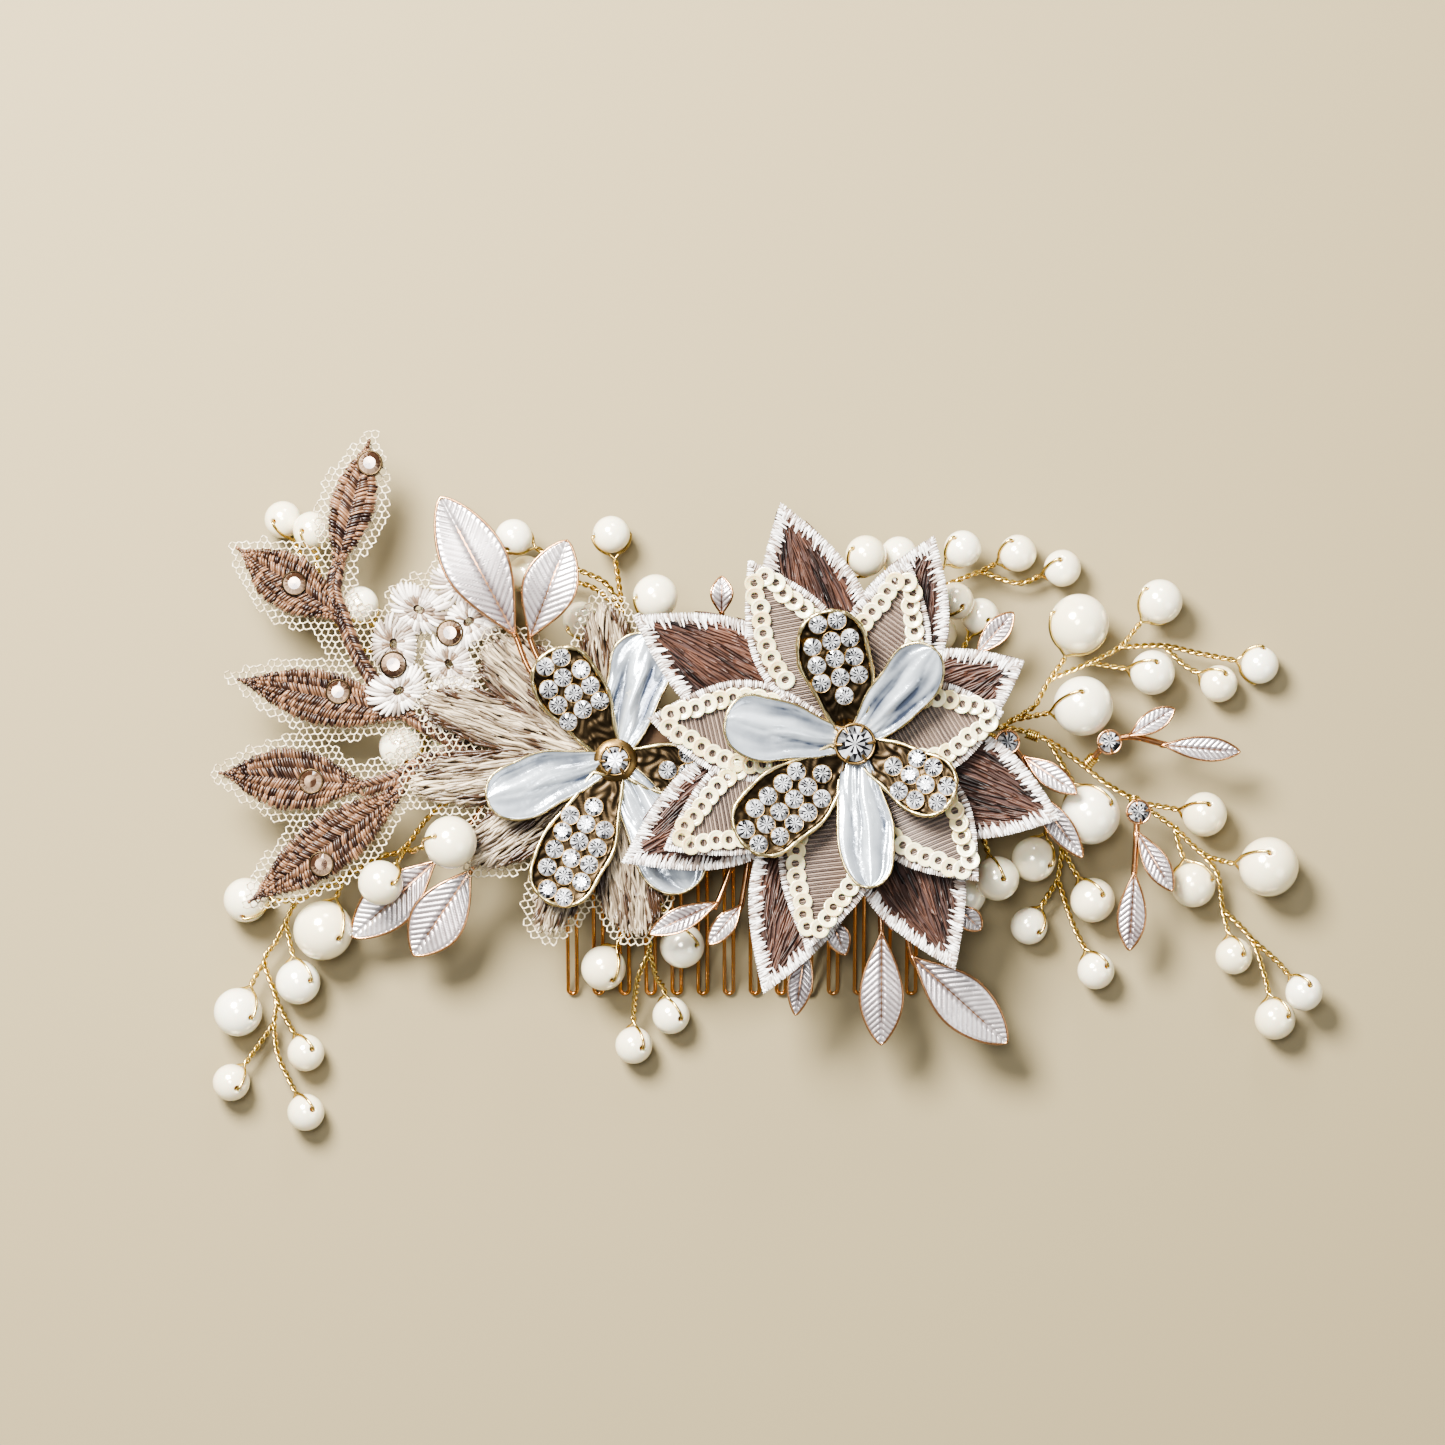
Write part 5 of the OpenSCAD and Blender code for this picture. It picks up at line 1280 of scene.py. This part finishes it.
def make_lace():
    """Round white lobes, each of two rings of stitches."""
    white, felt = Shape(), Shape()
    for cx, cy in LACE_LOBES:
        add_disc(felt, (cx, cy, LACE_Z), 0.5, 2.9, 0.05, 0.32, segments=32, shade=0.3)
        turn = rng.uniform(0, 6)
        for layer, (n, inner, outer) in enumerate([(34, 1.3, 3.75), (20, 0.7, 2.6)]):
            lines, shades = [], []
            for a in np.arange(n) * 2 * math.pi / n + turn:
                squash = 1 - 0.2 * math.cos(2 * (a - turn))
                r = np.linspace(inner * squash, outer * squash * rng.uniform(0.93, 1.04), 7)
                swirl = a + 0.1 * (r - inner) * math.sin(a - turn) + rng.uniform(-0.03, 0.03)
                s = (r - r[0]) / (r[-1] - r[0])
                z = 0.3 + 0.62 * np.sin(math.pi * (0.12 + 0.86 * s)) + 0.1 * layer * (1 - s)
                lines.append(np.stack([cx + r * np.cos(swirl), cy + r * np.sin(swirl), LACE_Z + z], -1))
                shades.append(rng.uniform(0.1, 1.1) if layer == 0 else rng.uniform(-0.3, 0.8))
            threads(white, np.array(lines), 0.27 - 0.03 * layer, shades, taper=0.5)
    white.make("lace_stitches", ivory_thread, "ivory_thread", replaces=["lace_flower"])
    felt.make("lace_felt", beige_cloth, "ivory_thread")


# ---------------------------------------------------------------- net


def near_route(x, y, route, reach):
    """Whether points are within reach of a line in the plan."""
    inside = np.zeros(x.shape, bool)
    for (ax, ay), (bx, by) in zip(route[:-1], route[1:]):
        dx, dy = bx - ax, by - ay
        t = np.clip(((x - ax) * dx + (y - ay) * dy) / (dx * dx + dy * dy), 0, 1)
        inside |= np.hypot(x - ax - t * dx, y - ay - t * dy) < reach
    return inside


def from_line(x, y, base, tip):
    """How far points are along and beside the line from base to tip, and its length."""
    dx, dy = tip[0] - base[0], tip[1] - base[1]
    length = math.hypot(dx, dy)
    along = ((x - base[0]) * dx + (y - base[1]) * dy) / length
    beside = np.abs((y - base[1]) * dx - (x - base[0]) * dy) / length
    return along, beside, length


def in_leaf(x, y, base, tip, width, grow):
    """Whether points are in a lobe of the sprig, grown by grow."""
    along, beside, length = from_line(x, y, base, tip)
    t = np.clip((along + grow) / (length + 2 * grow), 0, 1)
    return (along > -grow) & (along < length + grow) & (beside < leaf_half(t, width + 2.2 * grow) + 0.3)


def add_net(shape, inside, low, high, z, cell=0.95):
    """A hexagon net of fine thread over the region that inside() tells of; returns its area."""
    pitch = cell * math.sqrt(3) / 2
    side = cell / math.sqrt(3)
    columns = int((high[0] - low[0]) / cell) + 2
    rows = int((high[1] - low[1]) / pitch) + 2
    j, i = np.meshgrid(np.arange(rows), np.arange(columns), indexing="ij")
    cx = (low[0] + cell * (i + 0.5 * (j % 2))).ravel()
    cy = (low[1] + pitch * j).ravel()
    keep = inside(cx, cy)
    cx, cy = cx[keep], cy[keep]
    edges = {}
    corners = [(math.cos(math.radians(60 * k + 30)) * side, math.sin(math.radians(60 * k + 30)) * side)
               for k in range(6)]
    for x, y in zip(cx, cy):
        ring = [(round(x + a, 2), round(y + b, 2)) for a, b in corners]
        for a, b in zip(ring, ring[1:] + ring[:1]):
            edges[(min(a, b), max(a, b))] = 1
    ends = np.array([[a, b] for a, b in edges])
    knot, thread_r = 0.12, 0.108
    x, y = np.moveaxis(np.round(ends / knot) * knot, -1, 0)
    ends = ends + 0.11 * np.stack([np.sin(5.1 * x + 3.3 * y), np.cos(4.3 * x - 5.7 * y)], -1)
    lift = 0.12 * np.sin(0.5 * ends[..., 0] + 0.3 * ends[..., 1]) + 0.03 * np.sin(9 * ends[..., 0])
    lines = np.concatenate([ends, (z + lift)[..., None]], -1)
    middle = lines.mean(1, keepdims=True)
    lines = np.concatenate([lines[:, :1], middle, lines[:, 1:]], 1)
    threads(shape, lines, thread_r, rng.uniform(0.1, 1, len(lines)), flat=0.7, sides=5, taper=0.95)
    return len(cx) * cell * pitch


def in_tulle(x, y):
    inside = near_route(x, y, SPRIG_STEM, 2.4) | near_route(x, y, SPRIG_ROOT, 3.2)
    inside |= near_route(x, y, SPRIG_STEM[2:8], 3.8)
    for tip, base, width, _ in SPRIG_LOBES:
        inside |= in_leaf(x, y, base, tip, width, 1.3)
    for (tip, base, _, _), fork in zip(SPRIG_LOBES, SPRIG_FORKS):
        inside |= near_route(x, y, [base, fork], 2.6)
    for cx, cy in LACE_LOBES:
        inside |= np.hypot(x - cx, y - cy) < 4.6
    return inside & (x < -31)


def in_beige_net(x, y):
    hub = LEFT_HUB[:2]
    inside = np.hypot(x - hub[0], y - hub[1]) < 8.5
    for tip, width in BEIGE_LOBES:
        along, beside, length = from_line(x, y, hub, tip)
        grown = length + 1.4
        half = round_half(np.clip(along / grown, 0, 1), width + 2.4, 5)
        inside |= (along > 0) & (along < grown) & (beside < half)
    return inside & (np.hypot(x - hub[0], y - hub[1]) > 1.6)


def make_nets(beige_base, beige_silk):
    """The net behind the sprig and the lace, and the net behind the beige flower."""
    tulle, beige = Shape(), Shape()
    area = add_net(tulle, in_tulle, (-74, -26), (-30, 43), NET_Z)
    piece = tulle.make("tulle_net", net_thread, "net", replaces=["tulle_panel"])
    area = add_net(beige, in_beige_net, (-46, -30), (-4, 22), BEIGE_Z)
    piece = beige.make("beige_flower_net", net_thread, "net", replaces=["beige_net"])


# ---------------------------------------------------------------- light and camera


def make_floor(z):
    """The plain surface that the comb lies on."""
    mesh = bpy.data.meshes.new("floor")
    s = 1.2
    mesh.from_pydata([(-s, -s, z), (s, -s, z), (s, s, z), (-s, s, z)], [], [(0, 1, 2, 3)])
    floor = bpy.data.objects.new("floor", mesh)
    bpy.context.scene.collection.objects.link(floor)
    paper = bpy.data.materials.new("floor_paper")
    paper.use_nodes = True
    shader = paper.node_tree.nodes["Principled BSDF"]
    shader.inputs["Base Color"].default_value = srgb(131, 119, 90)
    shader.inputs["Roughness"].default_value = 0.75
    mesh.materials.append(paper)


def add_light(name, place, size, power, colour):
    """A round lamp that points at the middle of the comb."""
    light = bpy.data.lights.new(name, "AREA")
    light.shape, light.size, light.energy, light.color = "DISK", size, power, colour
    lamp = bpy.data.objects.new(name, light)
    lamp.location = place
    lamp.rotation_euler = (-Vector(place)).to_track_quat("-Z", "Y").to_euler()
    bpy.context.scene.collection.objects.link(lamp)


def make_light_and_camera():
    world = bpy.data.worlds.new("studio")
    bpy.context.scene.world = world
    world.use_nodes = True
    world.node_tree.nodes["Background"].inputs["Color"].default_value = (0.94, 0.97, 1, 1)
    world.node_tree.nodes["Background"].inputs["Strength"].default_value = 0.26
    add_light("key", (-0.2, 0.27, 0.4), 0.22, 14.5, (1, 0.98, 0.94))
    add_light("fill", (0.6, -0.3, 0.6), 0.5, 1.4, (0.9, 0.95, 1))
    add_light("rim", (0.1, 0.7, 0.35), 0.2, 2, (1, 1, 1))
    add_light("top", (-0.14, 0.12, 1.1), 0.34, 7, (1, 1, 1))
    bpy.context.scene.view_settings.look = "AgX - Medium High Contrast"
    lens = bpy.data.cameras.new("camera")
    lens.sensor_width, lens.lens = 36, 149.5
    camera = bpy.data.objects.new("camera", lens)
    camera.location = (-2.6 * MM, 2.3 * MM, 0.8)
    bpy.context.scene.collection.objects.link(camera)
    bpy.context.scene.camera = camera


make_comb()
make_pearls_and_wire()
make_leaves()
make_metal_flower("left", LEFT_HUB, LEFT_PAVE, LEFT_ENAMEL, 3.6)
make_metal_flower("right", RIGHT_HUB, RIGHT_PAVE, RIGHT_ENAMEL, 4.8)
make_brown_flower()
make_organza_flower()
make_sprig()
make_lace()
make_nets(*make_beige_flower())
make_floor(cad_box[0][2])
make_light_and_camera()
